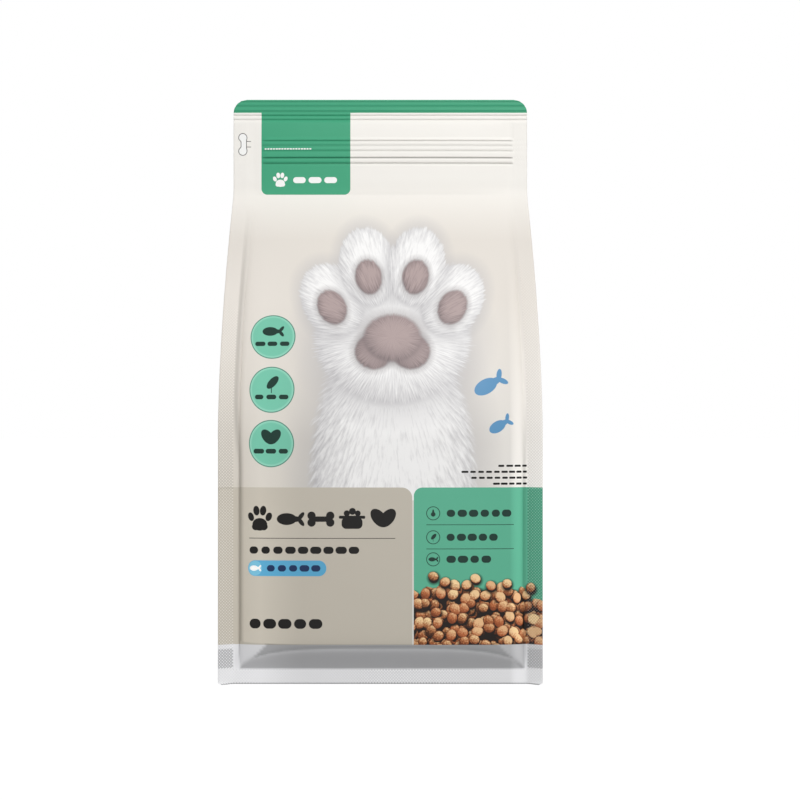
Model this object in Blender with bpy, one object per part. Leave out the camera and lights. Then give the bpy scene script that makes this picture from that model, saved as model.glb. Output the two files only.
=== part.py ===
"""A flat-bottomed, side-gusseted film bag of dry pet food, full, heat-sealed and standing on its foot.

The bag is one sealed body. It is built as one closed skin from level outlines joined from the floor to
the top edge. Each outline runs round the front panel, the right gusset, the back panel and the left
gusset, and the four corner seals stand out from it as flat strips. Metres, +Z up, the front faces -Y.
The origin is on the floor, in the middle of the foot.
"""

import math

import bmesh
import bpy

# Overall sizes
HEIGHT = 0.400
FOOT_WIDTH = 0.215  # across the corner seals, over the full lower half
HEAD_WIDTH = 0.207  # across the top seal
DEPTH = 0.096  # from the front corner seals to the back ones, over the full lower half

# Heat seals
PLY_PAIR = 0.0005  # two films sealed together
SIDE_SEAL = 0.0105
FOOT_SEAL = 0.0100
TOP_SEAL = 0.0155
SEAL_FLARE = math.radians(17)  # how far the corner seals lean away from the side panels
HEAD_CORNER = 0.0095  # radius at the top corners
FOOT_CORNER = 0.0025

# How the filling shapes the film
FULL_HEIGHT = 0.165  # the depth stays full up to here
HEAD_HEIGHT = 0.067  # the stretch below the top edge where front and back lie flat together
LEAN = 1.65  # how quickly the front leans back above the full part
BELLY = 0.0125  # how far the front and back panels stand out past the corner seals
UNDERSIDE_SLOPE = 0.78  # how far its underside comes out for each metre above the foot seal
CREASE_POWER = 8.0  # how tight the crease is where the underside meets the belly
BELLY_FLATNESS = 4.0  # how flat the belly is across its middle
BELLY_SHARPNESS = 0.6  # how steeply it falls to the corner seals
BELLY_FADE = 1.5  # how quickly it fades towards the head
LEFT_STRIP = 0.0044  # plain film between a corner seal's root and the belly
RIGHT_STRIP = 0.0018
HEAD_PILLOW = 0.0012  # the little air left between the panels of the head

# Side gussets and base panel
GUSSET_BULGE = 0.0045  # how far the filling bows them out, low down
GUSSET_RISE = 0.034  # height above the foot seal at which they stand out fully
FOLD_START = 0.007  # how far above the full part the middle crease begins to turn inwards
FOLD_BLEND = 0.064  # the height over which it does so
BASE_STEP = 0.018  # how far inside the foot seals the base panel reaches the floor

# Press-to-close strip behind the front panel, seen as ridges across it
CLOSURE_DROP = 0.0278  # below the top edge
CLOSURE_HEIGHT = 0.0192
CLOSURE_LEFT_MARGIN = 0.0100  # from the left corner seal
CLOSURE_RIGHT_MARGIN = 0.0008  # from the right corner seal
CLOSURE_RIDGES = 5
CLOSURE_RELIEF = 0.0006
CLOSURE_END = 0.0010  # the slope at each end of a ridge

# Ridges pressed into the top seal
SEAL_RIDGES = 5
SEAL_RELIEF = 0.0004
RIDGE_SHARE = 0.6  # how much of its pitch a ridge takes, in both

# How finely the skin is divided
FRONT_STEPS = 16
GUSSET_STEPS = 12
BASE_STEPS = 5
RISE_STEPS = 7
CREASE_STEP = 0.0025
BODY_STEP = 0.0115
CORNER_STEPS = 4
MERGE_HEIGHT = 0.0003  # outlines closer than this are one
MERGE_SHARE = 0.012
SHARP_ANGLE = math.radians(35)

FILM_COLOUR = (0.80, 0.76, 0.69, 1.0)
FILM_ROUGHNESS = 0.42

SHOULDER = HEIGHT - HEAD_HEIGHT
SEAL_START = HEIGHT - TOP_SEAL
CLOSURE_TOP = HEIGHT - CLOSURE_DROP
CLOSURE_BOTTOM = CLOSURE_TOP - CLOSURE_HEIGHT


def clamp(value):
    return min(1.0, max(0.0, value))


def ease(value):
    """0 to 1 with level ends."""
    share = clamp(value)
    return share * share * (3.0 - 2.0 * share)


def mix(low, high, share):
    return low + (high - low) * share


def fullness(z):
    """1 where the bag has its full depth, falling to 0 at the shoulder."""
    share = clamp((SHOULDER - z) / (SHOULDER - FULL_HEIGHT))
    return 1.0 - (1.0 - share) ** LEAN


def corner_depth(z):
    """Distance of the middle of a corner seal's root from the bag's middle plane."""
    return mix(PLY_PAIR / 2, DEPTH / 2, fullness(z))


def corner_cut(z):
    """How much shorter each end of the outline is inside the rounded top and bottom corners."""
    into_head = max(0.0, z - (HEIGHT - HEAD_CORNER))
    into_foot = max(0.0, FOOT_CORNER - z)
    cut = HEAD_CORNER - math.sqrt(max(0.0, HEAD_CORNER**2 - into_head**2))
    return cut + FOOT_CORNER - math.sqrt(max(0.0, FOOT_CORNER**2 - into_foot**2))


def tip_reach(z):
    """Half the width across the seal tips, before the corners are rounded."""
    return mix(HEAD_WIDTH, FOOT_WIDTH, fullness(z)) / 2


def flare(z):
    return SEAL_FLARE * fullness(z)


def root_reach(z):
    """Half the width between the roots of the corner seals."""
    return tip_reach(z) - SIDE_SEAL * math.cos(flare(z))


def rise(z):
    """The quarter-ellipse by which the gussets swell out just above the foot seal."""
    share = clamp((z - FOOT_SEAL) / GUSSET_RISE)
    return math.sqrt(1.0 - (1.0 - share) ** 2)


def lesser(first, second):
    """The smaller of two distances, rounded where they meet."""
    if min(first, second) <= 0.0:
        return 0.0
    return (first**-CREASE_POWER + second**-CREASE_POWER) ** (-1.0 / CREASE_POWER)


def belly(z, across):
    """How far the front or back panel stands out; across runs from -1 to 1 between the seal roots.

    The underside slopes straight out from the foot seal until it meets the belly's own curve.
    """
    reach = root_reach(z)
    strip = LEFT_STRIP if across < 0.0 else RIGHT_STRIP
    inner = min(1.0, abs(across) * reach / (reach - strip))
    shape = (1.0 - inner**BELLY_FLATNESS) ** BELLY_SHARPNESS
    if z <= SHOULDER:
        share = clamp((SHOULDER - z) / (SHOULDER - FULL_HEIGHT))
        body = BELLY * (1.0 - (1.0 - share) ** BELLY_FADE) * shape
        return lesser(body, UNDERSIDE_SLOPE * (z - FOOT_SEAL))
    share = clamp((SEAL_START - z) / (SEAL_START - SHOULDER))
    return HEAD_PILLOW * math.sqrt(4.0 * share * (1.0 - share)) * shape


def ridge_crests(bottom, top, count):
    """Heights of the crests of evenly spaced ridges, and half of one ridge's width."""
    pitch = (top - bottom) / count
    return [bottom + pitch * (n + 0.5) for n in range(count)], pitch * RIDGE_SHARE / 2


CLOSURE_CRESTS, CLOSURE_HALF = ridge_crests(CLOSURE_BOTTOM, CLOSURE_TOP, CLOSURE_RIDGES)
SEAL_CRESTS, SEAL_HALF = ridge_crests(SEAL_START, HEIGHT, SEAL_RIDGES)


def ridges(z, crests, half):
    """1 on a crest, falling straight to 0 at half a ridge's width from it."""
    return max(0.0, 1.0 - min(abs(z - crest) for crest in crests) / half)


def closure_ends():
    """Where the strip's ridges begin and reach their full height, then leave it and end, across the front."""
    root = root_reach(CLOSURE_TOP)
    left = CLOSURE_LEFT_MARGIN - root
    right = root - CLOSURE_RIGHT_MARGIN
    return left, left + CLOSURE_END, right - CLOSURE_END, right


def closure_relief(x, z):
    left, _, _, right = closure_ends()
    inside = clamp((x - left) / CLOSURE_END) * clamp((right - x) / CLOSURE_END)
    return CLOSURE_RELIEF * ridges(z, CLOSURE_CRESTS, CLOSURE_HALF) * inside


def seal_relief(z):
    return SEAL_RELIEF * ridges(z, SEAL_CRESTS, SEAL_HALF) if z > SEAL_START else 0.0


def gusset_inset(z, along):
    """How far the gusset lies inside the seal roots; along runs from -1 at the front to 1 at the back.

    Low down the film bows outwards. Above the full part its width no longer fits between the roots, so
    it folds in along its middle, just as far as the film's own width says.
    """
    depth = corner_depth(z)
    folded = math.sqrt(max(0.0, (DEPTH / 2) ** 2 - depth**2)) * (1.0 - abs(along))
    bowed = -GUSSET_BULGE * rise(z) * (1.0 - along**2)
    return mix(bowed, folded, ease((z - FULL_HEIGHT - FOLD_START) / FOLD_BLEND))


def places_across():
    """Places across a panel, as shares from -1 to 1 between the seal roots.

    They lie closer together near the corner seals. The closure strip's ends and the belly's edges are
    among them.
    """
    even = [math.sin(math.pi * (n / FRONT_STEPS - 0.5)) for n in range(FRONT_STEPS + 1)]
    full_reach = root_reach(FULL_HEIGHT)
    ends = [x / root_reach(CLOSURE_TOP) for x in closure_ends()]
    edges = [LEFT_STRIP / full_reach - 1.0, 1.0 - RIGHT_STRIP / full_reach]
    ends += [edge for edge in edges if min(abs(edge - end) for end in ends) > MERGE_SHARE / 2]
    inner = [share for share in even[1:-1] if min(abs(share - end) for end in ends) > MERGE_SHARE]
    return [-1.0] + sorted(inner + ends) + [1.0]


ACROSS = places_across()
ALONG = [2.0 * n / GUSSET_STEPS - 1.0 for n in range(GUSSET_STEPS + 1)]


def front_points(z):
    """The outer face of the front panel at one height, from the left seal tip to the right one."""
    depth = corner_depth(z) + PLY_PAIR / 2
    root = root_reach(z)
    tip = tip_reach(z) - corner_cut(z)
    squeeze = tip / tip_reach(z)
    lean = SIDE_SEAL * math.sin(flare(z))
    relief = seal_relief(z)
    points = [(-tip, -depth - lean - relief, z)]
    for across in ACROSS:
        x = across * root
        out = depth + belly(z, across) + closure_relief(x, z) + relief
        points.append((x * squeeze, -out, z))
    points.append((tip, -depth - lean - relief, z))
    return points


def back_points(z):
    """The outer face of the back panel, from the right seal tip to the left one."""
    depth = corner_depth(z) + PLY_PAIR / 2
    root = root_reach(z)
    tip = tip_reach(z) - corner_cut(z)
    squeeze = tip / tip_reach(z)
    lean = SIDE_SEAL * math.sin(flare(z))
    relief = seal_relief(z)
    points = [(tip, depth + lean - relief, z)]
    for across in reversed(ACROSS):
        points.append((across * root * squeeze, depth + belly(z, across) - relief, z))
    points.append((-tip, depth + lean - relief, z))
    return points


def gusset_points(z, side):
    """The right (side 1) or left (side -1) gusset with the inner faces of its two seals, front to back."""
    depth = corner_depth(z) - PLY_PAIR / 2
    tip = tip_reach(z) - corner_cut(z)
    lean = SIDE_SEAL * math.sin(flare(z))
    points = [(side * tip, -depth - lean, z)]
    for along in ALONG:
        points.append((side * (root_reach(z) - gusset_inset(z, along)), along * depth, z))
    points.append((side * tip, depth + lean, z))
    return points


def levels_below():
    """Heights of the outlines from the floor to the shoulder."""
    foot = [FOOT_CORNER * (1.0 - math.cos(math.pi / 2 * n / CORNER_STEPS)) for n in range(CORNER_STEPS + 1)]
    foot.append(FOOT_SEAL)
    crease = FOOT_SEAL + BELLY / UNDERSIDE_SLOPE
    rising = [
        FOOT_SEAL + GUSSET_RISE * (1.0 - math.cos(math.pi / 2 * n / RISE_STEPS))
        for n in range(1, RISE_STEPS + 1)
    ]
    swell = [z for z in rising if abs(z - crease) > 1.5 * CREASE_STEP]
    swell = sorted(swell + [crease - CREASE_STEP, crease, crease + CREASE_STEP])
    start = swell[-1]
    count = max(2, round((SHOULDER - start) / BODY_STEP))
    body = [mix(start, SHOULDER, n / count) for n in range(1, count + 1)]
    return foot + swell + body


def levels_above():
    """Heights of the outlines over the shoulder, with three on every ridge and more in the corners."""
    heights = [mix(SHOULDER, CLOSURE_BOTTOM, 0.3), mix(SHOULDER, CLOSURE_BOTTOM, 0.7)]
    heights.append(mix(CLOSURE_TOP, SEAL_START, 0.5))
    for crests, half in ((CLOSURE_CRESTS, CLOSURE_HALF), (SEAL_CRESTS, SEAL_HALF)):
        for crest in crests:
            heights += [crest - half, crest, crest + half]
    heights += [SEAL_START - HEAD_PILLOW, SEAL_START]
    heights += [
        HEIGHT - HEAD_CORNER * (1.0 - math.sin(math.pi / 2 * n / CORNER_STEPS))
        for n in range(CORNER_STEPS + 1)
    ]
    kept = [SHOULDER]
    for height in sorted(heights):
        if height - kept[-1] > MERGE_HEIGHT and HEIGHT - height > MERGE_HEIGHT:
            kept.append(height)
    return kept[1:] + [HEIGHT]


def add_row(mesh, points):
    return [mesh.verts.new(point) for point in points]


def join_rows(mesh, lower, upper):
    """A strip of four-sided faces between two rows of as many vertices."""
    for n in range(len(lower) - 1):
        mesh.faces.new((lower[n], lower[n + 1], upper[n + 1], upper[n]))


def build_outer_skin(mesh):
    """Front, back and gussets from the floor to the top edge. Returns the lowest outlines."""
    lowest = {}
    previous = {}
    for z in levels_below():
        rows = {
            "front": add_row(mesh, front_points(z)),
            "right": add_row(mesh, gusset_points(z, 1)),
            "back": add_row(mesh, back_points(z)),
            "left": add_row(mesh, gusset_points(z, -1)),
        }
        for name, row in rows.items():
            if previous:
                join_rows(mesh, previous[name], row)
        if previous:
            join_tips(mesh, previous, rows)
        previous = rows
        lowest = lowest or rows
    build_head(mesh, previous)
    return lowest


def join_tips(mesh, lower, upper):
    """The four narrow edges of the corner seals, between the panels and the gussets."""
    pairs = (
        ("front", -1, "right", 0),
        ("right", -1, "back", 0),
        ("front", 0, "left", 0),
        ("left", -1, "back", -1),
    )
    for one, a, other, b in pairs:
        mesh.faces.new((lower[one][a], lower[other][b], upper[other][b], upper[one][a]))


def build_head(mesh, shoulder):
    """Above the shoulder only the front and the back panel are left, joined along one thin edge each side.

    The two halves of each gusset end there on one line, where they meet.
    """
    front, back = shoulder["front"], shoulder["back"]
    right, left = shoulder["right"][0], shoulder["left"][0]
    for z in levels_above():
        new_front = add_row(mesh, front_points(z))
        new_back = add_row(mesh, back_points(z))
        reach = tip_reach(z) - corner_cut(z)
        new_right = mesh.verts.new((reach + PLY_PAIR / 4, -seal_relief(z), z))
        new_left = mesh.verts.new((-reach - PLY_PAIR / 4, -seal_relief(z), z))
        join_rows(mesh, front, new_front)
        join_rows(mesh, back, new_back)
        mesh.faces.new((front[-1], right, new_right, new_front[-1]))
        mesh.faces.new((right, back[0], new_back[0], new_right))
        mesh.faces.new((front[0], left, new_left, new_front[0]))
        mesh.faces.new((left, back[-1], new_back[-1], new_left))
        front, back, right, left = new_front, new_back, new_right, new_left
    join_rows(mesh, front, back[::-1])
    mesh.faces.new((front[-1], right, back[0]))
    mesh.faces.new((front[0], left, back[-1]))


def base_ring(inset, z):
    """One ring of the base panel, inside the foot seals, starting at the front left corner."""
    half_width = root_reach(0.0) - PLY_PAIR - inset
    half_depth = corner_depth(0.0) - PLY_PAIR / 2 - inset
    front = [(across * half_width, -half_depth, z) for across in ACROSS]
    right = [(half_width, along * half_depth, z) for along in ALONG[1:-1]]
    back = [(across * half_width, half_depth, z) for across in reversed(ACROSS)]
    left = [(-half_width, along * half_depth, z) for along in reversed(ALONG[1:-1])]
    return front + right + back + left


def build_base(mesh, lowest):
    """The inner faces of the foot seals, then the base panel, which the filling presses to the floor."""
    rings = [add_row(mesh, base_ring(0.0, 0.0))]
    for n in range(BASE_STEPS + 1):
        share = n / BASE_STEPS
        height = FOOT_SEAL * (1.0 - ease(share))
        rings.append(add_row(mesh, base_ring(BASE_STEP * share, height)))
    for outer, inner in zip(rings, rings[1:]):
        join_rows(mesh, outer + outer[:1], inner + inner[:1])
    mesh.faces.new(rings[-1])
    build_rim(mesh, lowest, rings[0])


def build_rim(mesh, lowest, ring):
    """The lower edges of the foot seals, on the floor between the outer skin and the base panel."""
    across, along = len(ACROSS), len(ALONG)
    front, back = lowest["front"], lowest["back"]
    right, left = lowest["right"], lowest["left"]
    front_side = ring[:across]
    right_side = ring[across - 1 : across + along - 1]
    back_side = ring[across + along - 2 : 2 * across + along - 2]
    left_side = (ring[2 * across + along - 3 :] + ring[:1])[::-1]
    join_rows(mesh, front[1:-1], front_side)
    join_rows(mesh, back[1:-1], back_side)
    join_rows(mesh, right[1:-1], right_side)
    join_rows(mesh, left[1:-1], left_side)
    for panel, end, gusset, corner in (
        (front, -1, right, front_side[-1]),
        (front, 0, left, front_side[0]),
    ):
        inward = -2 if end else 1
        mesh.faces.new((panel[end], panel[inward], gusset[1], gusset[0]))
        mesh.faces.new((panel[inward], gusset[1], corner))
    for end, gusset, corner in ((0, right, back_side[0]), (-1, left, back_side[-1])):
        inward = 1 if end == 0 else -2
        mesh.faces.new((back[end], back[inward], gusset[-2], gusset[-1]))
        mesh.faces.new((back[inward], gusset[-2], corner))


def film_material():
    material = bpy.data.materials.new("printed_film")
    material.use_nodes = True
    shader = material.node_tree.nodes["Principled BSDF"]
    shader.inputs["Base Color"].default_value = FILM_COLOUR
    shader.inputs["Roughness"].default_value = FILM_ROUGHNESS
    shader.inputs["Metallic"].default_value = 0.0
    return material


def build_bag():
    mesh = bmesh.new()
    lowest = build_outer_skin(mesh)
    build_base(mesh, lowest)
    bmesh.ops.remove_doubles(mesh, verts=mesh.verts, dist=PLY_PAIR / 50)
    bmesh.ops.recalc_face_normals(mesh, faces=mesh.faces)
    data = bpy.data.meshes.new("bag")
    mesh.to_mesh(data)
    mesh.free()
    data.shade_smooth()
    data.set_sharp_from_angle(angle=SHARP_ANGLE)
    bag = bpy.data.objects.new("bag", data)
    bag.data.materials.append(film_material())
    bpy.context.scene.collection.objects.link(bag)
    return bag


def main():
    for old in list(bpy.data.objects):
        bpy.data.objects.remove(old)
    build_bag()


main()
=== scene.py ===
import math

import bpy
import numpy as np
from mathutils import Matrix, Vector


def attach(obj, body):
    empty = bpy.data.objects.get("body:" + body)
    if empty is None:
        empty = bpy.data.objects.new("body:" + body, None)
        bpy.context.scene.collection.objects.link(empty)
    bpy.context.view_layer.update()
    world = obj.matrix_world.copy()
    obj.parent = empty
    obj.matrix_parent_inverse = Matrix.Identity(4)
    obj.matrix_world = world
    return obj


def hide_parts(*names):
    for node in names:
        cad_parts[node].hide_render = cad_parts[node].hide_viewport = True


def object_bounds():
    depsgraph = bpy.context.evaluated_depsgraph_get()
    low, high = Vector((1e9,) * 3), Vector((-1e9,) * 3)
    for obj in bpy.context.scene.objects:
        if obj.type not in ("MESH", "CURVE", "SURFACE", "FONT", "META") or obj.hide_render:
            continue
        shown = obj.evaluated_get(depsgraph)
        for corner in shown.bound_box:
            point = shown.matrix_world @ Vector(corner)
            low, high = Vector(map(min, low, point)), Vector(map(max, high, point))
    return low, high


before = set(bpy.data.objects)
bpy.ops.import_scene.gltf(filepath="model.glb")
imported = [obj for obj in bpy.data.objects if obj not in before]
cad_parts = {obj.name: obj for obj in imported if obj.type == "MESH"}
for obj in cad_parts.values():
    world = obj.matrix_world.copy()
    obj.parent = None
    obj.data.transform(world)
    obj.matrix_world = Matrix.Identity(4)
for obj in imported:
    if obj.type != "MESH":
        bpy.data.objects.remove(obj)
solid_low, solid_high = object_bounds()


# The front panel
# One web of printed laminate between the corner seals. The food inside bellies it out above the foot
# seal, and further up it leans back to the flat head, where the press-to-close strip shows through.

HEIGHT = solid_high.z
FOOT_REACH = solid_high.x  # from the middle to the tips of the corner seals, over the full lower half
HEAD_REACH = 0.1035
CORNER_DEPTH = 0.048  # from the middle plane to the roots of the corner seals
PLY_PAIR = 0.0005  # two films sealed together
PLY = 0.00022
BELLY = solid_high.y - CORNER_DEPTH - PLY_PAIR / 2
SIDE_SEAL = 0.0105
FOOT_SEAL = 0.0100
TOP_SEAL = 0.0155
SEAL_FLARE = math.radians(17)
HEAD_CORNER = 0.0095
FOOT_CORNER = 0.0025
FULL_HEIGHT = 0.165
SHOULDER = HEIGHT - 0.067
LEAN = 1.65
SHOULDER_SOFTNESS = 0.020  # the height over which the film bends into the flat head
SHOULDER_STEPS = 17  # levels over that height that the bend is averaged from
UNDERSIDE_SLOPE = 0.78
CREASE_POWER = 8.0
LEFT_STRIP = 0.0044  # plain film between a corner seal's root and the belly
RIGHT_STRIP = 0.0018
BELLY_FLATNESS = 4.0
BELLY_SHARPNESS = 0.6
BELLY_FADE = 1.5
HEAD_PILLOW = 0.0012
ROLL_SHARE = 0.2  # how far the plain strip rolls out, as a share of its width
PRINT_DRAW = 0.0118  # how far the jaws draw the print down beside the belly, per metre below DRAW_HEIGHT
DRAW_HEIGHT = 0.194

KNURL_ROW = 0.001
KNURL_DEPTH = 0.00024
SEAL_CELLS = 11  # knurl cells across a corner seal
PLAIN_CELLS = 1  # cells at its root that the sealing jaw doesn't reach
PANEL_CELLS = 204
EVERY_COLUMN = 6  # cells from a seal's root over which every column goes on above the foot seal
EVERY_SECOND = 30  # cells from it up to which every second one does, and from there every fourth
SHARP_ANGLE = math.radians(40)

SEAL_GROOVES = (0.3984, 0.3953, 0.3917, 0.3889, 0.3858)
CLOSURE_GROOVES = (0.3708, 0.3674, 0.3637, 0.3589, 0.3550)
CLOSURE_BAND = (0.3544, 0.3728)
CLOSURE_REACH = (-0.0828, 0.0936)
GROOVE_DEPTH = 0.00065
GROOVE_WIDTH = 0.0009
GROOVE_ROWS = (-0.9, -0.45, 0.45, 0.9)  # the film's extra rows beside a groove, in groove widths
# Painted shade along the pressed grooves, which the geometry also has.
GROOVE_SHADE = 0.8
FAINT_GROOVE = 0.5  # the painted shade that the two lowest grooves of the top seal have less
TRACK_SHADE = 1.2  # the painted shade that the closure's fourth groove has on top of the others
CLOSURE_RELIEF = 0.0005
CLOSURE_EDGE = 0.001  # the width over which the strip stands up at its edges and ends

# Painted shade along the folds at the belly's edges, stronger on the left, and over the bare silver foot,
# where the underside and the strip above its crease are painted dark and the facets at its ends less so.
EDGE_FOLD = 0.0014
FOLD_RISE = 0.012  # the height over which the edge folds and the roll take shape above the foot seal
FOLD_FADE = 1.5  # how late they fade towards the head
FOLD_CHANGE = (0.14, 0.06)  # where the folds start to change up the bag, and over what height
FOLD_SHIFT = 0.7  # how far out on the plain strip they then lie, as a share of its width
LEFT_FOLD_SHADE = (1.2, 0.75)  # low down, and from the middle up
RIGHT_FOLD_SHADE = (0.9, 0.25)
BARE_TOP = 0.0286
BARE_EDGE = 0.0005
FACET_RISE = 1.05  # how steeply the facets at the ends of the underside narrow to the foot seal
FACET_EDGE = 0.002
LEFT_FACET_SHADE = 0.60
RIGHT_FACET_SHADE = 1.05
UNDERSIDE_SHADE = 0.45
UPRIGHT_SHADE = 1.6
UPRIGHT_BLEND = (0.001, 0.0016)  # how far under the crease the film turns upright, and over what height

# The knurl's painted shading: painted shade in its pits and painted light on its points, fading up the bag;
# painted light and shade on the corner seals by side and height, painted light on the foot seal, painted shade
# on the low silver seals, and a painted shadow line along the foot's lower edge.
KNURL_FADE = (0.30, 0.18)  # where the knurl's shade would be gone, and the height that it fades over
FAINTEST_KNURL = 0.2
HEAD_FADE = 0.04  # the height under the shoulder over which it does go
FOOT_SHADOW_LINE = 1.6
FOOT_PAINTED_LIGHT = 1.1
LOW_PAINTED_LIGHT = -0.65
LEFT_FIN_PAINTED_LIGHT = (0.30, -0.05)  # painted light beside the low fields, and above them; below 0 it is painted shade
RIGHT_FIN_PAINTED_LIGHT = (-0.15, 0.15)
LOW_FIELDS_TOP = 0.130
FOOT_CONTRAST = 1.5
SILVER_TOP = 0.0236


def ease(share):
    """0 to 1 with level ends: three times the square less twice the cube of the share, clipped."""
    share = np.clip(share, 0.0, 1.0)
    return share * share * (3.0 - 2.0 * share)


def fullness(z):
    """1 at full depth, 0 in the flat head: 1 - (1 - share) ** LEAN, averaged over the shoulder's bend."""
    steps = np.linspace(-0.5, 0.5, SHOULDER_STEPS)
    window = steps * SHOULDER_SOFTNESS
    weight = np.cos(steps * math.pi) ** 2
    share = np.clip((SHOULDER - z[..., None] - window) / (SHOULDER - FULL_HEIGHT), 0.0, 1.0)
    return ((1.0 - (1.0 - share) ** LEAN) * weight).sum(-1) / weight.sum()


def seal_root_depth(z):
    """Distance of a corner seal's root from the middle plane."""
    return PLY_PAIR / 2 + (CORNER_DEPTH - PLY_PAIR / 2) * fullness(z)


def seal_root_reach(z):
    """Half the width between the roots of the corner seals."""
    tip = HEAD_REACH + (FOOT_REACH - HEAD_REACH) * fullness(z)
    return tip - SIDE_SEAL * np.cos(SEAL_FLARE * fullness(z))


def seal_tip_reach(z):
    """Half the width over the seal tips, less the quarter circles at the top and bottom corners."""
    tip = HEAD_REACH + (FOOT_REACH - HEAD_REACH) * fullness(z)
    into_head = np.clip(z - (HEIGHT - HEAD_CORNER), 0.0, HEAD_CORNER)
    into_foot = np.clip(FOOT_CORNER - z, 0.0, FOOT_CORNER)
    cut = HEAD_CORNER - np.sqrt(HEAD_CORNER**2 - into_head**2)
    return tip - cut - FOOT_CORNER + np.sqrt(FOOT_CORNER**2 - into_foot**2)


def belly_shape(across, z):
    """The belly's section, 0 at its edges and 1 in the middle: (1 - share ** flatness) ** sharpness."""
    reach = seal_root_reach(z)
    share = np.abs(across) * reach / (reach - np.where(across < 0.0, LEFT_STRIP, RIGHT_STRIP))
    return np.clip(1.0 - share**BELLY_FLATNESS, 0.0, 1.0) ** BELLY_SHARPNESS


def edge_fade(z):
    """1 beside the full belly, falling to 0 at the foot seal and in the head."""
    return ease((z - FOOT_SEAL) / FOLD_RISE) * ease(fullness(z) * FOLD_FADE)


def roll(across, z):
    """The roll of the plain strip: a squared sine from the seal's root to the belly, over the full part."""
    strip = np.where(across < 0.0, LEFT_STRIP, RIGHT_STRIP)
    share = np.clip((1.0 - np.abs(across)) * seal_root_reach(z) / strip, 0.0, 1.0)
    return ROLL_SHARE * strip * np.sin(share * math.pi) ** 2 * edge_fade(z)


def lesser(first, second):
    """The smaller of two heights, less a little where they are close.

    It is small / (1 + share ** p) ** (1 / p), where share is the smaller over the larger.
    """
    small, large = np.minimum(first, second), np.maximum(first, second)
    share = small / np.maximum(large, 1e-6)
    return small / (1.0 + share**CREASE_POWER) ** (1.0 / CREASE_POWER)


def underside_and_body(across, z):
    """The belly's two bounding surfaces: a straight slope out of the foot seal, and the filling's swell."""
    share = np.clip((SHOULDER - z) / (SHOULDER - FULL_HEIGHT), 0.0, 1.0)
    body = BELLY * (1.0 - (1.0 - share) ** BELLY_FADE) * belly_shape(across, z)
    return np.clip(z - FOOT_SEAL, 0.0, None) * UNDERSIDE_SLOPE, body


def belly(across, z):
    """How far a panel stands out: the lesser of underside and body, the head's pillow, and the roll."""
    underside, body = underside_and_body(across, z)
    head = np.clip((HEIGHT - TOP_SEAL - z) / (HEIGHT - TOP_SEAL - SHOULDER), 0.0, 1.0)
    pillow = HEAD_PILLOW * np.sqrt(4.0 * head * (1.0 - head)) * belly_shape(across, z)
    return lesser(body, underside) + pillow + roll(across, z)


def between(place, low, high, edge):
    """1 from low to high, easing off to 0 over the edge's width inside each."""
    return ease((place - low) / edge) * ease((high - place) / edge)


def grooves(z, places, width):
    """1 at the bottom of each groove, falling off as a bell curve."""
    return sum(np.exp(-(((z - place) / (width / 2)) ** 2)) for place in places)


def knurl(column, row):
    """Small pyramids on a diagonal lattice: one less the product of two triangle waves, halved."""
    wave_across = 2.0 * np.abs(column % 2.0 - 1.0) - 1.0
    wave_up = 2.0 * np.abs(row % 2.0 - 1.0) - 1.0
    return KNURL_DEPTH * (1.0 - wave_across * wave_up) / 2


def knurl_shade(pyramids, z, fin_painted_light):
    """The knurl's painted shading: 1 of painted shade in its pits and -1 of painted light on its points,
    fainter up the bag, offset by painted light and shade by place, with a painted shadow line along the foot's
    edge.
    """
    top, height = KNURL_FADE
    fade = np.clip((top - z) / height, FAINTEST_KNURL, 1.0) * np.clip((SHOULDER - z) / HEAD_FADE, 0.0, 1.0)
    foot = z < FOOT_SEAL + KNURL_ROW / 2
    painted_light = np.where(z < SILVER_TOP, LOW_PAINTED_LIGHT, fin_painted_light * fade)
    painted_light = np.where(foot, FOOT_PAINTED_LIGHT, painted_light)
    shade = (1.0 - 2.0 * pyramids / KNURL_DEPTH) * fade * np.where(foot, FOOT_CONTRAST, 1.0) - painted_light
    return np.where(z < KNURL_ROW / 2, FOOT_SHADOW_LINE, shade)


def film_rows(top):
    """Heights of the film's rows: one for each knurl row, and four more at each pressed groove."""
    lattice = np.arange(0.0, top + KNURL_ROW / 2, KNURL_ROW)
    near = np.array(GROOVE_ROWS) * GROOVE_WIDTH
    pressed = (np.array(SEAL_GROOVES + CLOSURE_GROOVES)[:, None] + near).ravel()
    every = np.unique(np.round(np.concatenate((lattice, pressed[pressed < top])), 5))
    return every[np.concatenate(([True], np.diff(every) > KNURL_ROW / 5))]


def lengths(steps_x, steps_y, axis):
    """Distance along the film: the running sum of its straight steps."""
    return np.cumsum(np.hypot(steps_x, steps_y), axis)


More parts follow.
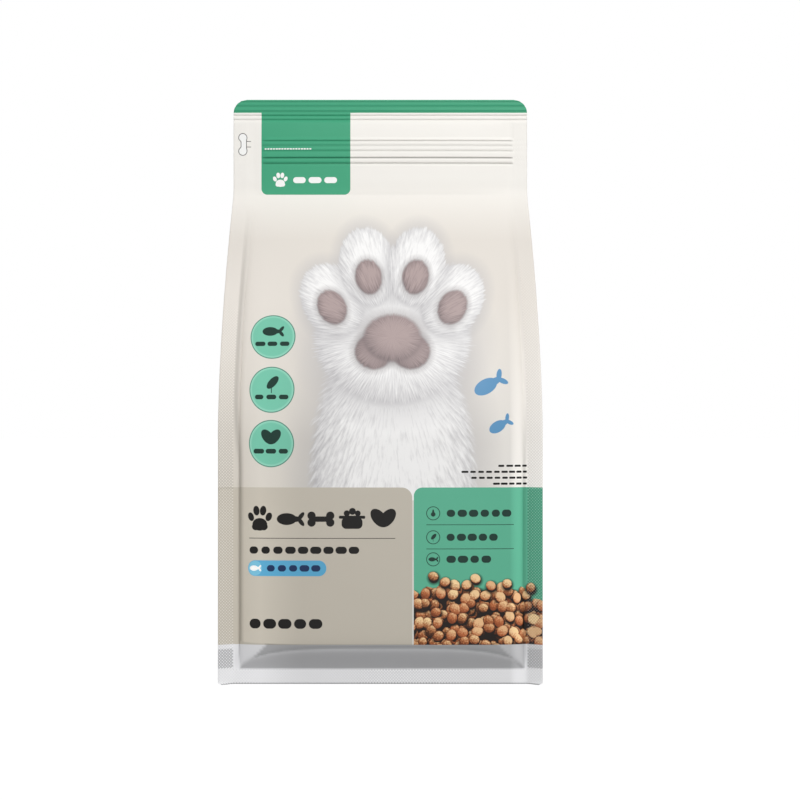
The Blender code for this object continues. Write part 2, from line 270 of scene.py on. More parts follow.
def panel(column, z, front):
    """A panel's outer face. Columns count knurl cells from the left seal tip to the right one.

    Over the seals the face runs straight from tip to root. Between the roots it is the belly's curve.
    """
    across = np.clip((column - SEAL_CELLS) / PANEL_CELLS * 2.0 - 1.0, -1.0, 1.0)
    left_seal = np.clip(1.0 - column / SEAL_CELLS, 0.0, 1.0)
    right_seal = np.clip((column - SEAL_CELLS - PANEL_CELLS) / SEAL_CELLS, 0.0, 1.0)
    outwards = left_seal + right_seal
    root = seal_root_reach(z)
    x = across * root + (right_seal - left_seal) * (seal_tip_reach(z) - root)
    lean = SIDE_SEAL * np.sin(SEAL_FLARE * fullness(z)) * outwards
    out = seal_root_depth(z) + PLY_PAIR / 2 + lean + belly(across, z)
    film_x = lengths(np.diff(x, axis=1, prepend=x[:, :1]), np.diff(out, axis=1, prepend=out[:, :1]), 1)
    film_x = film_x - film_x[:, film_x.shape[1] // 2, None]
    middle = out[:, out.shape[1] // 2]
    film_z = lengths(np.diff(z[:, 0], prepend=0.0), np.diff(middle, prepend=middle[:1]), 0)[:, None]
    film_z = film_z + PRINT_DRAW * np.clip(DRAW_HEIGHT - z, 0.0, None) * (1.0 - belly_shape(across, z))
    over_seal = z > HEIGHT - TOP_SEAL - GROOVE_WIDTH
    # Painted shade in the grooves of the top seal and the closure, whose profile also sets how deep they are
    # pressed; then painted shade in the folds, and the knurl's painted shading over the seals.
    painted_shading = grooves(z, SEAL_GROOVES, GROOVE_WIDTH) * over_seal + np.zeros_like(x)
    pressed = -GROOVE_DEPTH * painted_shading
    if front:
        ends = between(x, *CLOSURE_REACH, CLOSURE_EDGE)
        band = between(z, *CLOSURE_BAND, CLOSURE_EDGE)
        rib_gaps = grooves(z, CLOSURE_GROOVES, GROOVE_WIDTH)
        track = TRACK_SHADE * grooves(z, CLOSURE_GROOVES[3:4], GROOVE_WIDTH)
        pressed = pressed + (CLOSURE_RELIEF * band - GROOVE_DEPTH * rib_gaps) * ends
        painted_shading = painted_shading + (rib_gaps + track) * ends
    sealed = (outwards > (PLAIN_CELLS - 0.5) / SEAL_CELLS) & (z < HEIGHT - TOP_SEAL)
    sealed = sealed | (z < FOOT_SEAL - KNURL_ROW / 2)
    pyramids = np.where(sealed, knurl(column, z / KNURL_ROW), 0.0)
    painted_shading = painted_shading - FAINT_GROOVE * grooves(z, SEAL_GROOVES[3:], GROOVE_WIDTH) * over_seal
    painted_shading = GROOVE_SHADE * painted_shading + painted_fold_shade(across, z) * (outwards == 0.0)
    low, high = np.where(across[..., None] < 0.0, LEFT_FIN_PAINTED_LIGHT, RIGHT_FIN_PAINTED_LIGHT).T
    fin_painted_light = np.where(z.T < LOW_FIELDS_TOP, low, high).T
    painted_shading = np.where(sealed, knurl_shade(pyramids, z, fin_painted_light), painted_shading)
    out = out + (pressed if front else -pressed) + pyramids
    y = -out if front else out
    points = np.stack(np.broadcast_arrays(x, y, z), -1)
    film = np.stack(np.broadcast_arrays(film_x, film_z, painted_shading), -1)
    return points, film, sealed & np.ones_like(x, bool)


def painted_fold_shade(across, z):
    """Painted shade in the folds: along the belly's edges, on the bare foot, and on its underside.

    The underside is painted dark up to the print, but for a facet at each end that narrows to the foot seal.
    """
    strip = np.where(across < 0.0, LEFT_STRIP, RIGHT_STRIP)
    off_edge = (1.0 - np.abs(across)) * seal_root_reach(z) - strip
    high = ease((z - FOLD_CHANGE[0]) / FOLD_CHANGE[1])
    left = LEFT_FOLD_SHADE[0] + (LEFT_FOLD_SHADE[1] - LEFT_FOLD_SHADE[0]) * high
    right = RIGHT_FOLD_SHADE[0] + (RIGHT_FOLD_SHADE[1] - RIGHT_FOLD_SHADE[0]) * high
    off_fold = (off_edge + FOLD_SHIFT * strip * high) / (EDGE_FOLD * (1.0 + high))
    along_edge = np.exp(-(off_fold**2)) * edge_fade(z) * np.where(across < 0.0, left, right)
    underside, body = underside_and_body(across, z)
    bare = np.clip((BARE_TOP - z) / BARE_EDGE, 0.0, 1.0) * ease((z - FOOT_SEAL) / KNURL_ROW)
    bare = bare * (off_edge > 0.0)
    below = np.clip((off_edge * FACET_RISE - (z - FOOT_SEAL)) / FACET_EDGE, 0.0, 1.0)
    upright = ease(((underside - body) / UNDERSIDE_SLOPE + UPRIGHT_BLEND[0]) / UPRIGHT_BLEND[1])
    dark = UNDERSIDE_SHADE + (UPRIGHT_SHADE - UNDERSIDE_SHADE) * upright
    facet = np.where(across < 0.0, LEFT_FACET_SHADE, RIGHT_FACET_SHADE)
    return along_edge * (1.0 - bare) + bare * (facet + (dark - facet) * below)


def kept_columns(cells):
    """Which columns go on above the foot seal: all near the seals, then every second and every fourth."""
    half = cells // 2
    seconds = np.arange(EVERY_COLUMN, EVERY_SECOND, 2)
    step = np.concatenate((np.arange(EVERY_COLUMN), seconds, np.arange(EVERY_SECOND, half + 1, 4)))
    inner = np.unique(np.concatenate((step, cells - step)))
    seal = np.arange(SEAL_CELLS)
    return np.concatenate((seal, SEAL_CELLS + inner, SEAL_CELLS + cells + 1 + seal))


def film_faces(columns_kept, rows, columns):
    """Triangles of the film: every cell over the foot seal, wide ones above it, and fans between the two.

    Each cell is split along the valley between two pyramids.
    """
    foot_rows = round(FOOT_SEAL / KNURL_ROW)

    def split(row, left, right):
        low_left, low_right = row * columns + left, row * columns + right
        high_left, high_right = low_left + columns, low_right + columns
        rising = ((row + left) % 2 == 0)[..., None]
        under_left = np.stack((low_left, low_right, high_left), -1)
        under_right = np.stack((low_left, low_right, high_right), -1)
        over_left = np.stack((low_left, high_right, high_left), -1)
        over_right = np.stack((low_right, high_right, high_left), -1)
        one = np.where(rising, under_right, under_left)
        two = np.where(rising, over_left, over_right)
        return np.concatenate((one.reshape(-1, 3), two.reshape(-1, 3)))

    every = np.arange(columns - 1)
    foot = split(*np.broadcast_arrays(np.arange(foot_rows)[:, None], every, every + 1))
    left, right = columns_kept[:-1], columns_kept[1:]
    upper = split(*np.broadcast_arrays(np.arange(foot_rows + 1, rows - 1)[:, None], left, right))
    fans = []
    low, high = foot_rows * columns, (foot_rows + 1) * columns
    for start, end in zip(left, right):
        middle = (start + end) // 2
        fans += [(low + n, low + n + 1, high + start) for n in range(start, middle)]
        fans += [(low + n, low + n + 1, high + end) for n in range(middle, end)]
        fans.append((low + middle, high + end, high + start))
    return np.concatenate((foot, np.array(fans), upper))


def lay_film(name, points, film, pressed, faces, flat_size, zone=None):
    """A web of film from its grid of points: outer face, print coordinates, painted shading, then its own
    thickness.

    The film's three numbers are its place across and up the flat web, and its painted shading: painted shade
    above 0, painted light below 0.
    """
    used, faces = np.unique(faces, return_inverse=True)
    faces = faces.reshape(-1, 3)
    mesh = bpy.data.meshes.new(name)
    mesh.from_pydata(points.reshape(-1, 3)[used].tolist(), [], faces.tolist())
    layer = mesh.uv_layers.new(name="OFBake")
    place, painted_shading = film.reshape(-1, 3)[used, :2], film.reshape(-1, 3)[used, 2]
    share = place / flat_size + np.array([0.5, 0.0])
    layer.data.foreach_set("uv", share[faces.ravel()].astype(np.float32).ravel())
    mesh.attributes.new("painted_shading", "FLOAT", "POINT").data.foreach_set("value", painted_shading.astype(np.float32))
    faceted = pressed.reshape(-1)[used][faces].any(axis=1)
    mesh.polygons.foreach_set("use_smooth", ~faceted)
    mesh.set_sharp_from_angle(angle=SHARP_ANGLE)
    if zone:
        zones = zone(place[faces])
        mesh.polygons.foreach_set("material_index", zones.astype(np.int32))
    web = bpy.data.objects.new(name, mesh)
    bpy.context.scene.collection.objects.link(web)
    wall = web.modifiers.new("film", "SOLIDIFY")
    wall.thickness = PLY
    wall.offset = -1.0
    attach(web, "root")
    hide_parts("bag")
    return web


HEAD_ZONE = 0.3420  # over this height on the film a face takes the print of the head
LOW_ZONE = 0.1262  # below it, that of the low fields
STONE_ZONE = 0.0205  # to its left, that of the stone-coloured one
PANEL_FLAT = (0.232, 0.424)  # the sheet that the print coordinates cover, up from the foot edge


def print_zone(corners):
    """Which print a face takes, from its corners' film places: 0 head, 1 picture, 2 stone, 3 green."""
    lowest, rightmost = corners[..., 1].min(1), corners[..., 0].max(1)
    low = np.where(rightmost < STONE_ZONE, 2, 3)
    return np.where(lowest > HEAD_ZONE, 0, np.where(lowest > LOW_ZONE, 1, low))


panel_rows = film_rows(HEIGHT)
panel_columns = np.arange(2 * SEAL_CELLS + PANEL_CELLS + 1)
panel_faces = film_faces(kept_columns(PANEL_CELLS), len(panel_rows), len(panel_columns))
points, film, pressed = panel(panel_columns[None, :].astype(float), panel_rows[:, None], True)
film_heights = film[:, 0, 1]
front_panel = lay_film("front_panel", points, film, pressed, panel_faces, PANEL_FLAT, print_zone)


# The laminate
# Each web is the same film: a clear satin outer ply, printed on its inside, over a silver barrier ply
# that shows bare below the print. The filling leaves it a little wavy, and the rollers leave a fine grain.

PRINT_EDGE = 0.00015  # the soft edge of printed ink
WAVE_LENGTH = 0.026
WAVE_HEIGHT = 0.00022
GRAIN_LENGTH = 0.0006
GRAIN_HEIGHT = 0.000003
SATIN = 0.42
SATIN_SPREAD = 0.10
SHEEN_LEVEL = 0.2
SCUFF_LENGTH = 0.009
# Painted light and shade on the print: how far the painted shading darkens it towards black, and pales it
# towards white.
PAINTED_SHADE_STRENGTH = 0.34
PAINTED_LIGHT_STRENGTH = 0.45
# A painted gleam: the print is painted paler towards the left seal and along a line by the right one, low on
# the body, as light on the belly's edges.
GLEAM_LEFT = (0.050, 0.029)  # where the painted gleam begins towards the left seal, and over what width
GLEAM_RIGHT = (0.0925, 0.0065)  # the middle and half width of the painted gleam's pale line at the right one
GLEAM_POWER = 1.4
GLEAM_TOP = 0.31
GLEAM_FADE = 0.2  # the height over which the paleness comes in below that
PANEL_TOP = 0.1353  # up to here the low fields cover the cream
GLEAM_STRENGTH = (1.26, 1.26, 1.26, 1.0)

VECTOR = "NodeSocketVector"
NUMBER = "NodeSocketFloat"
COLOUR = "NodeSocketColor"
RIGHT, UP = (1.0, 0.0, 0.0), (0.0, 1.0, 0.0)


def ink(red, green, blue):
    """A printed colour: its 0 to 255 proof values turned into the linear values that a shader takes."""
    share = np.array([red, green, blue]) / 255.0
    linear = np.where(share <= 0.04045, share / 12.92, ((share + 0.055) / 1.055) ** 2.4)
    return (*linear.tolist(), 1.0)


def feed(tree, socket, value):
    """Links a socket to the output given, or writes the plain value into it."""
    if isinstance(value, bpy.types.NodeSocket):
        tree.links.new(value, socket)
    else:
        socket.default_value = value


def number_step(tree, operation, *values, clip=False):
    """One Math node, fed in order."""
    node = tree.nodes.new("ShaderNodeMath")
    node.operation = operation
    node.use_clamp = clip
    for socket, value in zip(node.inputs, values):
        feed(tree, socket, value)
    return node.outputs[0]


def vector_step(tree, operation, *values):
    """One Vector Math node, fed in order. It gives a number where it measures, and else a vector."""
    node = tree.nodes.new("ShaderNodeVectorMath")
    node.operation = operation
    for socket, value in zip(node.inputs, values):
        feed(tree, socket, value)
    return node.outputs["Value" if operation in ("LENGTH", "DOT_PRODUCT") else "Vector"]


def along_axes(tree, place, centre, across, upward):
    """The place seen from a motif's middle, as two numbers: its products with the motif's two axes."""
    offset = vector_step(tree, "SUBTRACT", place, centre)
    return tuple(vector_step(tree, "DOT_PRODUCT", offset, axis) for axis in (across, upward))


def length_of(tree, first, second):
    """The root of the sum of two squares."""
    squares = number_step(tree, "MULTIPLY", first, first)
    return number_step(tree, "SQRT", number_step(tree, "MULTIPLY_ADD", second, second, squares))


def axes(turn, reach, tall):
    """Axes of a motif turned by so many degrees, each one over its half size long."""
    cosine, sine = math.cos(math.radians(turn)), math.sin(math.radians(turn))
    return {"Across": (cosine / reach, sine / reach, 0.0), "Upward": (-sine / tall, cosine / tall, 0.0)}


def laid_over(tree, mask, under, over, blend="MIX"):
    """One ink laid over another, or blended with it, where the mask is 1."""
    node = tree.nodes.new("ShaderNodeMix")
    node.data_type = "RGBA"
    node.blend_type = blend
    for socket, value in zip((node.inputs[0], node.inputs[6], node.inputs[7]), (mask, under, over)):
        feed(tree, socket, value)
    return node.outputs[2]


def noise(tree, place, length, detail, roughness=0.5):
    """Soft random spots of about this length, from 0 to 1."""
    node = tree.nodes.new("ShaderNodeTexNoise")
    node.noise_dimensions = "2D"
    feed(tree, node.inputs["Vector"], place)
    node.inputs["Scale"].default_value = 1.0 / length
    node.inputs["Detail"].default_value = detail
    node.inputs["Roughness"].default_value = roughness
    return node.outputs[0]


def new_group(name, coming, going):
    """An empty node group: its tree, the sockets that come in, and the sockets that go out."""
    tree = bpy.data.node_groups.new(name, "ShaderNodeTree")
    for way, sockets in (("INPUT", coming), ("OUTPUT", going)):
        for label, kind in sockets.items():
            tree.interface.new_socket(name=label, in_out=way, socket_type=kind)
    inside = tree.nodes.new("NodeGroupInput").outputs
    outside = tree.nodes.new("NodeGroupOutput").inputs
    return tree, inside, outside


def placed(tree, group, **values):
    """A node of this group, with its sockets fed by name, that gives its outputs."""
    node = tree.nodes.new("ShaderNodeGroup")
    node.node_tree = group
    for label, value in values.items():
        feed(tree, node.inputs[label], value)
    return node.outputs


finish_group, coming, going = new_group(
    "film_finish", {"Place": VECTOR}, {"Roughness": NUMBER, "Height": NUMBER}
)
waves = noise(finish_group, coming["Place"], WAVE_LENGTH, detail=1.5)
grain = noise(finish_group, coming["Place"], GRAIN_LENGTH, detail=1.0)
scuffs = noise(finish_group, coming["Place"], SCUFF_LENGTH, detail=3.0)
height = number_step(finish_group, "MULTIPLY", waves, WAVE_HEIGHT)
height = number_step(finish_group, "MULTIPLY_ADD", grain, GRAIN_HEIGHT, height)
finish_group.links.new(height, going["Height"])
spread = number_step(finish_group, "MULTIPLY_ADD", scuffs, SATIN_SPREAD, SATIN - SATIN_SPREAD / 2)
finish_group.links.new(spread, going["Roughness"])

# The painted gleam's mask: paler print towards the left seal and along a line by the right seal, fading out up
# the body.
gleam_group, coming, going = new_group("film_painted_gleam", {"Place": VECTOR}, {"Mask": NUMBER})
tree = gleam_group
across, up = along_axes(tree, coming["Place"], (0.0, 0.0, 0.0), RIGHT, UP)
start, width = GLEAM_LEFT
leftward = number_step(tree, "MULTIPLY_ADD", across, -1.0 / width, -start / width, clip=True)
leftward = number_step(tree, "POWER", leftward, GLEAM_POWER)
middle, width = GLEAM_RIGHT
off_middle = number_step(tree, "MULTIPLY_ADD", across, 1.0 / width, -middle / width)
squared = number_step(tree, "MULTIPLY", off_middle, off_middle)
rightward = number_step(tree, "SUBTRACT", 1.0, squared, clip=True)
beside = number_step(tree, "MULTIPLY_ADD", off_middle, 1.0, 0.5, clip=True)
cream = number_step(tree, "GREATER_THAN", up, PANEL_TOP)
rightward = number_step(tree, "MAXIMUM", rightward, number_step(tree, "MULTIPLY", beside, cream))
low = number_step(tree, "MULTIPLY_ADD", up, -1.0 / GLEAM_FADE, GLEAM_TOP / GLEAM_FADE, clip=True)
both = number_step(tree, "MULTIPLY", number_step(tree, "MAXIMUM", leftward, rightward), low)
gleam_group.links.new(both, going["Mask"])


def inked_with_painted_light(tree, shader, colour, place):
    """Feeds the print to the shader with painted light and shade: paler under the painted gleam, darker where
    the painted shading is above 0, and paler where it is below 0.
    """
    painted_gleam = placed(tree, gleam_group, Place=place)["Mask"]
    colour = laid_over(tree, painted_gleam, colour, GLEAM_STRENGTH, "MULTIPLY")
    painted_shading_node = tree.nodes.new("ShaderNodeAttribute")
    painted_shading_node.attribute_name = "painted_shading"
    shade = number_step(tree, "MULTIPLY", painted_shading_node.outputs["Fac"], PAINTED_SHADE_STRENGTH, clip=True)
    pale = number_step(tree, "MULTIPLY", painted_shading_node.outputs["Fac"], -PAINTED_LIGHT_STRENGTH, clip=True)
    colour = laid_over(tree, shade, colour, ink(0, 0, 0))
    tree.links.new(laid_over(tree, pale, colour, ink(255, 255, 255)), shader.inputs["Base Color"])


def film_look(web, flat_size, name):
    """A web's material up to its print: the shader, its tree, and the place on the web in metres."""
    material = bpy.data.materials.new(name)
    material.use_nodes = True
    tree = material.node_tree
    shader = tree.nodes["Principled BSDF"]
    coordinates = tree.nodes.new("ShaderNodeUVMap")
    coordinates.uv_map = "OFBake"
    centred = vector_step(tree, "SUBTRACT", coordinates.outputs["UV"], (0.5, 0.0, 0.0))
    place = vector_step(tree, "MULTIPLY", centred, (*flat_size, 0.0))
    finish = placed(tree, finish_group, Place=place)
    bump = tree.nodes.new("ShaderNodeBump")
    bump.inputs["Distance"].default_value = 1.0
    tree.links.new(finish["Height"], bump.inputs["Height"])
    tree.links.new(bump.outputs[0], shader.inputs["Normal"])
    tree.links.new(finish["Roughness"], shader.inputs["Roughness"])
    shader.inputs["Specular IOR Level"].default_value = SHEEN_LEVEL
    web.data.materials.append(material)
    return tree, shader, place


# The printed fields
# The print is flat areas of ink with crisp edges: rounded fields, discs, bars that stand where words
# would, and small pet signs. Each is a mask worked out from the place on the web.

FILM_SILVER = ink(226, 226, 228)
SILVER_SHINE = 0.03
PRINT_FOOT = 0.0322  # the print ends here, and the bare silver ply begins
# The creams grade into one another: print grading that also holds painted light and shade.
HEAD_CREAM = ink(245, 242, 236)
BODY_CREAM = ink(226, 220, 212)
LOW_CREAM = ink(211, 205, 195)
LOW_CREAM_RIGHT = ink(237, 234, 229)
BAND_GREEN = ink(66, 163, 124)
TAUPE = ink(196, 189, 176)
PANEL_GREEN = ink(95, 178, 147)
BLACK = ink(14, 12, 10)
BAND_FOOT = 0.4065

field_group, coming, going = new_group(
    "rounded_field",
    {"Place": VECTOR, "Centre": VECTOR, "Core": VECTOR, "Corner": NUMBER, "Sharpness": NUMBER},
    {"Mask": NUMBER},
)
offset = vector_step(field_group, "SUBTRACT", coming["Place"], coming["Centre"])
offset = vector_step(field_group, "ABSOLUTE", offset)
offset = vector_step(field_group, "SUBTRACT", offset, coming["Core"])
offset = vector_step(field_group, "MAXIMUM", offset, (0.0, 0.0, 0.0))
inward = number_step(field_group, "SUBTRACT", coming["Corner"], vector_step(field_group, "LENGTH", offset))
mask = number_step(field_group, "MULTIPLY_ADD", inward, coming["Sharpness"], 0.5, clip=True)
field_group.links.new(mask, going["Mask"])

oval_group, coming, going = new_group(
    "oval",
    {"Place": VECTOR, "Centre": VECTOR, "Across": VECTOR, "Upward": VECTOR, "Sharpness": NUMBER},
    {"Mask": NUMBER},
)
local = along_axes(oval_group, coming["Place"], coming["Centre"], coming["Across"], coming["Upward"])
inward = number_step(oval_group, "SUBTRACT", 1.0, length_of(oval_group, *local))
mask = number_step(oval_group, "MULTIPLY_ADD", inward, coming["Sharpness"], 0.5, clip=True)
oval_group.links.new(mask, going["Mask"])

ring_group, coming, going = new_group(
    "ring",
    {"Place": VECTOR, "Centre": VECTOR, "Radius": NUMBER, "Line": NUMBER},
    {"Mask": NUMBER},
)
offset = vector_step(ring_group, "SUBTRACT", coming["Place"], coming["Centre"])
off_line = number_step(ring_group, "SUBTRACT", vector_step(ring_group, "LENGTH", offset), coming["Radius"])
inward = number_step(ring_group, "SUBTRACT", coming["Line"], number_step(ring_group, "ABSOLUTE", off_line))
mask = number_step(ring_group, "MULTIPLY_ADD", inward, 1.0 / PRINT_EDGE, 0.5, clip=True)
ring_group.links.new(mask, going["Mask"])

WORD_SHARES = (0.35, 0.10)  # the shortest half bar, and what chance adds to it, in word pitches
WORD_SEED = 977.0  # sets the draws of a line apart by its height

words_group, coming, going = new_group(
    "word_bars",
    {"Place": VECTOR, "Start": VECTOR, "Pitch": NUMBER, "Count": NUMBER, "Half Height": NUMBER},
    {"Mask": NUMBER},
)
along, above = along_axes(words_group, coming["Place"], coming["Start"], RIGHT, UP)
along = number_step(words_group, "DIVIDE", along, coming["Pitch"])
cell = number_step(words_group, "FLOOR", along)
chance = words_group.nodes.new("ShaderNodeTexWhiteNoise")
chance.noise_dimensions = "1D"
line_height = vector_step(words_group, "DOT_PRODUCT", coming["Start"], UP)
seed = number_step(words_group, "MULTIPLY_ADD", line_height, WORD_SEED, cell)
words_group.links.new(seed, chance.inputs["W"])
half = number_step(words_group, "MULTIPLY_ADD", chance.outputs["Value"], WORD_SHARES[1], WORD_SHARES[0])
off_middle = number_step(words_group, "SUBTRACT", number_step(words_group, "SUBTRACT", along, cell), 0.5)
past = number_step(words_group, "SUBTRACT", number_step(words_group, "ABSOLUTE", off_middle), half)
past = number_step(words_group, "MULTIPLY_ADD", past, coming["Pitch"], coming["Half Height"])
past = number_step(words_group, "MAXIMUM", past, 0.0)
inward = number_step(words_group, "SUBTRACT", coming["Half Height"], length_of(words_group, past, above))
mask = number_step(words_group, "MULTIPLY_ADD", inward, 1.0 / PRINT_EDGE, 0.5, clip=True)
half_count = number_step(words_group, "MULTIPLY", coming["Count"], 0.5)
from_middle = number_step(words_group, "SUBTRACT", number_step(words_group, "ADD", cell, 0.5), half_count)
inside_line = number_step(words_group, "ABSOLUTE", from_middle)
inside_line = number_step(words_group, "LESS_THAN", inside_line, half_count)
words_group.links.new(number_step(words_group, "MULTIPLY", mask, inside_line), going["Mask"])


def field(tree, place, left, right, low, high, corner, edge=PRINT_EDGE):
    """A rounded rectangle: all that is nearer to its core than the radius of its corners."""
    centre = ((left + right) / 2, (low + high) / 2, 0.0)
    core = ((right - left) / 2 - corner, (high - low) / 2 - corner, 0.0)
    values = {"Place": place, "Centre": centre, "Core": core, "Corner": corner, "Sharpness": 1.0 / edge}
    return placed(tree, field_group, **values)["Mask"]


def oval(tree, place, x, z, reach, tall, turn=0.0, edge=PRINT_EDGE):
    """An oval turned by so many degrees: all that is less than one radius from its middle."""
    values = {"Centre": (x, z, 0.0), "Sharpness": min(reach, tall) / edge, **axes(turn, reach, tall)}
    return placed(tree, oval_group, Place=place, **values)["Mask"]


def ring(tree, place, x, z, radius, line):
    """A thin circle."""
    return placed(tree, ring_group, Place=place, Centre=(x, z, 0.0), Radius=radius, Line=line / 2)["Mask"]


def words(tree, place, left, right, z, height, count):
    """A row of bars of uneven length, one for each word of a line."""
    values = {"Start": (left, z, 0.0), "Pitch": (right - left) / count, "Count": float(count)}
    return placed(tree, words_group, Place=place, **values, **{"Half Height": height / 2})["Mask"]


def joined(tree, masks):
    """Where any of the masks is 1."""
    whole = masks[0]
    for mask in masks[1:]:
        whole = number_step(tree, "MAXIMUM", whole, mask)
    return whole


SIGN_EDGE = 0.15


def sign_group(name, ovals, bars=()):
    """A small pet sign drawn in millimetres about its middle, from ovals and rounded bars."""
    tree, coming, going = new_group(
        name, {"Place": VECTOR, "Centre": VECTOR, "Across": VECTOR, "Upward": VECTOR}, {"Mask": NUMBER}
    )
    local = tree.nodes.new("ShaderNodeCombineXYZ")
    for part, socket in zip(along_axes(tree, *(coming[n] for n in range(4))), local.inputs):
        tree.links.new(part, socket)
    local = local.outputs[0]
    masks = [oval(tree, local, *values, edge=SIGN_EDGE) for values in ovals]
    masks += [field(tree, local, *values, edge=SIGN_EDGE) for values in bars]
    tree.links.new(joined(tree, masks), going["Mask"])
    return tree


def sign(tree, place, group, x, z, size, turn=0.0):
    """A sign put down at this place, at so many times its drawn size."""
    millimetre = size * 0.001
    directions = axes(turn, millimetre, millimetre)
    return placed(tree, group, Place=place, Centre=(x, z, 0.0), **directions)["Mask"]


paw_palm = [(0.0, -3.0, 4.4, 3.5), (-2.4, -4.3, 2.3, 2.0), (2.4, -4.3, 2.3, 2.0)]
paw_toes = [
    (side * x, z, reach, tall, -side * turn)
    for side in (-1, 1)
    for x, z, reach, tall, turn in ((5.3, 1.2, 1.75, 2.5, 24), (2.0, 4.6, 1.85, 2.7, 8))
]
paw_sign = sign_group("paw_sign", paw_palm + paw_toes)
fish_tail = [(6.2, side * 1.6, 2.7, 1.2, side * 52) for side in (1, -1)]
fish_sign = sign_group("fish_sign", [(-1.8, 0.0, 5.6, 3.3), (1.6, 0.0, 4.8, 1.7)] + fish_tail)
bone_ends = [(side * 5.2, up * 1.9, 2.3, 2.3) for side in (-1, 1) for up in (-1, 1)]
bone_sign = sign_group("bone_sign", bone_ends, [(-5.0, 5.0, -1.5, 1.5, 0.3)])
bowl_food = [(-2.9, 3.2, 1.7, 1.7), (0.2, 4.3, 1.9, 1.9), (3.2, 3.2, 1.6, 1.6)]
bowl_sign = sign_group("bowl_sign", bowl_food, [(-7.3, 7.3, 0.2, 1.9, 0.7), (-5.8, 5.8, -5.4, 1.0, 2.6)])
heart_halves = [(side * 2.35, 0.6, 3.6, 6.0, -side * 40) for side in (-1, 1)]
heart_sign = sign_group("heart_sign", heart_halves)
leaf_sign = sign_group("leaf_sign", [(0.8, 1.0, 2.7, 5.6, -42)], [(-0.3, 0.3, -6.5, 0.5, 0.25)])
drop_sign = sign_group("drop_sign", [(0.0, -1.6, 3.6, 3.6), (0.0, 1.2, 1.7, 4.8)])


# The heap of kibble
# The front shows a heap of round brown biscuits. Each is a lit dome with a crumbed face. Layer upon layer
# of them lies in cells under the heap's outline, with a few more that have rolled up on their own.

KIBBLE_PITCH = 0.0079
KIBBLE_DISORDER = 0.8
KIBBLE_RADIUS = 0.0037
KIBBLE_SPREAD = 0.0007  # from the smallest radius to the largest
KIBBLE_OVAL = 1.16  # a biscuit's length over its width
KIBBLE_SHARPNESS = 14.0
KIBBLE_TURN = 6.28
HEAP_TOP = 0.0718
HEAP_MIDDLE = 0.058
HEAP_CURVE = 3.5
HEAP_SINK = 0.003  # how far the dark gaps stay below the top of the biscuits
HEAP_SHARPNESS = 400.0
HEAP_LIGHT = (9.0, 0.75)  # how fast the tone rises to the right, per metre, and its share in the middle
STRAY_RADIUS = 0.0034
STRAY_TURN = 900.0  # sets the turns of the loose biscuits apart by their places
KIBBLE_DARK = ink(52, 28, 15)
KIBBLE_BROWN = ink(178, 114, 72)
KIBBLE_GOLD = ink(255, 222, 168)
KIBBLE_RUST = ink(200, 104, 62)
HEAP_GAP = ink(20, 11, 7)
LIT_FROM = (0.22, 0.50, 0.0)
SHADOW_FROM = (-0.12, 0.34, 0.0)
SHADOW_FADE = (1.6, -1.45)  # the rate at which a shadow thins out, and its level in the middle
DOME_RISE = 1.5
DOME_LIGHT = 0.62
CRUMB_LENGTH = 0.0010
CRUMB_LIGHT = 1.1
TONE_LIGHT = (0.8, -0.36)
HALF_LIT = 0.42
FULLY_LIT = 0.9
RUST_DRAW = 7.0  # sets the draw of the rust apart from the tone that it comes from
RUST_SHARE = 0.45

biscuit_group, coming, going = new_group(
    "biscuit",
    {"Place": VECTOR, "Centre": VECTOR, "Radius": NUMBER, "Tilt": NUMBER,
     "Tone": NUMBER, "Here": NUMBER, "Under": COLOUR},
    {"Colour": COLOUR},
)
tree = biscuit_group
offset = vector_step(tree, "SUBTRACT", coming["Place"], coming["Centre"])
scale = number_step(tree, "DIVIDE", 1.0, coming["Radius"])
node = tree.nodes.new("ShaderNodeVectorMath")
node.operation = "SCALE"
tree.links.new(offset, node.inputs[0])
tree.links.new(scale, node.inputs["Scale"])
local = node.outputs[0]
below = vector_step(tree, "ADD", local, SHADOW_FROM)
clear = number_step(tree, "MULTIPLY_ADD", vector_step(tree, "LENGTH", below), *SHADOW_FADE, clip=True)
shadow = number_step(tree, "MULTIPLY", number_step(tree, "SUBTRACT", 1.0, clear), coming["Here"])
under = laid_over(tree, shadow, coming["Under"], HEAP_GAP)
cosine, sine = number_step(tree, "COSINE", coming["Tilt"]), number_step(tree, "SINE", coming["Tilt"])
across, above = vector_step(tree, "DOT_PRODUCT", local, RIGHT), vector_step(tree, "DOT_PRODUCT", local, UP)
long_way = number_step(tree, "MULTIPLY_ADD", across, cosine, number_step(tree, "MULTIPLY", above, sine))
short_way = number_step(tree, "MULTIPLY", above, cosine)
short_way = number_step(tree, "SUBTRACT", short_way, number_step(tree, "MULTIPLY", across, sine))
reach = length_of(tree, long_way, number_step(tree, "MULTIPLY", short_way, KIBBLE_OVAL))
inside = number_step(tree, "SUBTRACT", 1.0, reach)
inside = number_step(tree, "MULTIPLY_ADD", inside, KIBBLE_SHARPNESS, 0.5, clip=True)
inside = number_step(tree, "MULTIPLY", inside, coming["Here"])
dome = number_step(tree, "SUBTRACT", 1.0, number_step(tree, "MULTIPLY", reach, reach), clip=True)
dome = number_step(tree, "MULTIPLY", number_step(tree, "SQRT", dome), DOME_RISE, clip=True)
lit = number_step(tree, "MULTIPLY_ADD", dome, DOME_LIGHT, vector_step(tree, "DOT_PRODUCT", local, LIT_FROM))
crumbs = noise(tree, coming["Place"], CRUMB_LENGTH, detail=2.0, roughness=0.65)
lit = number_step(tree, "MULTIPLY_ADD", number_step(tree, "SUBTRACT", crumbs, 0.5), CRUMB_LIGHT, lit)
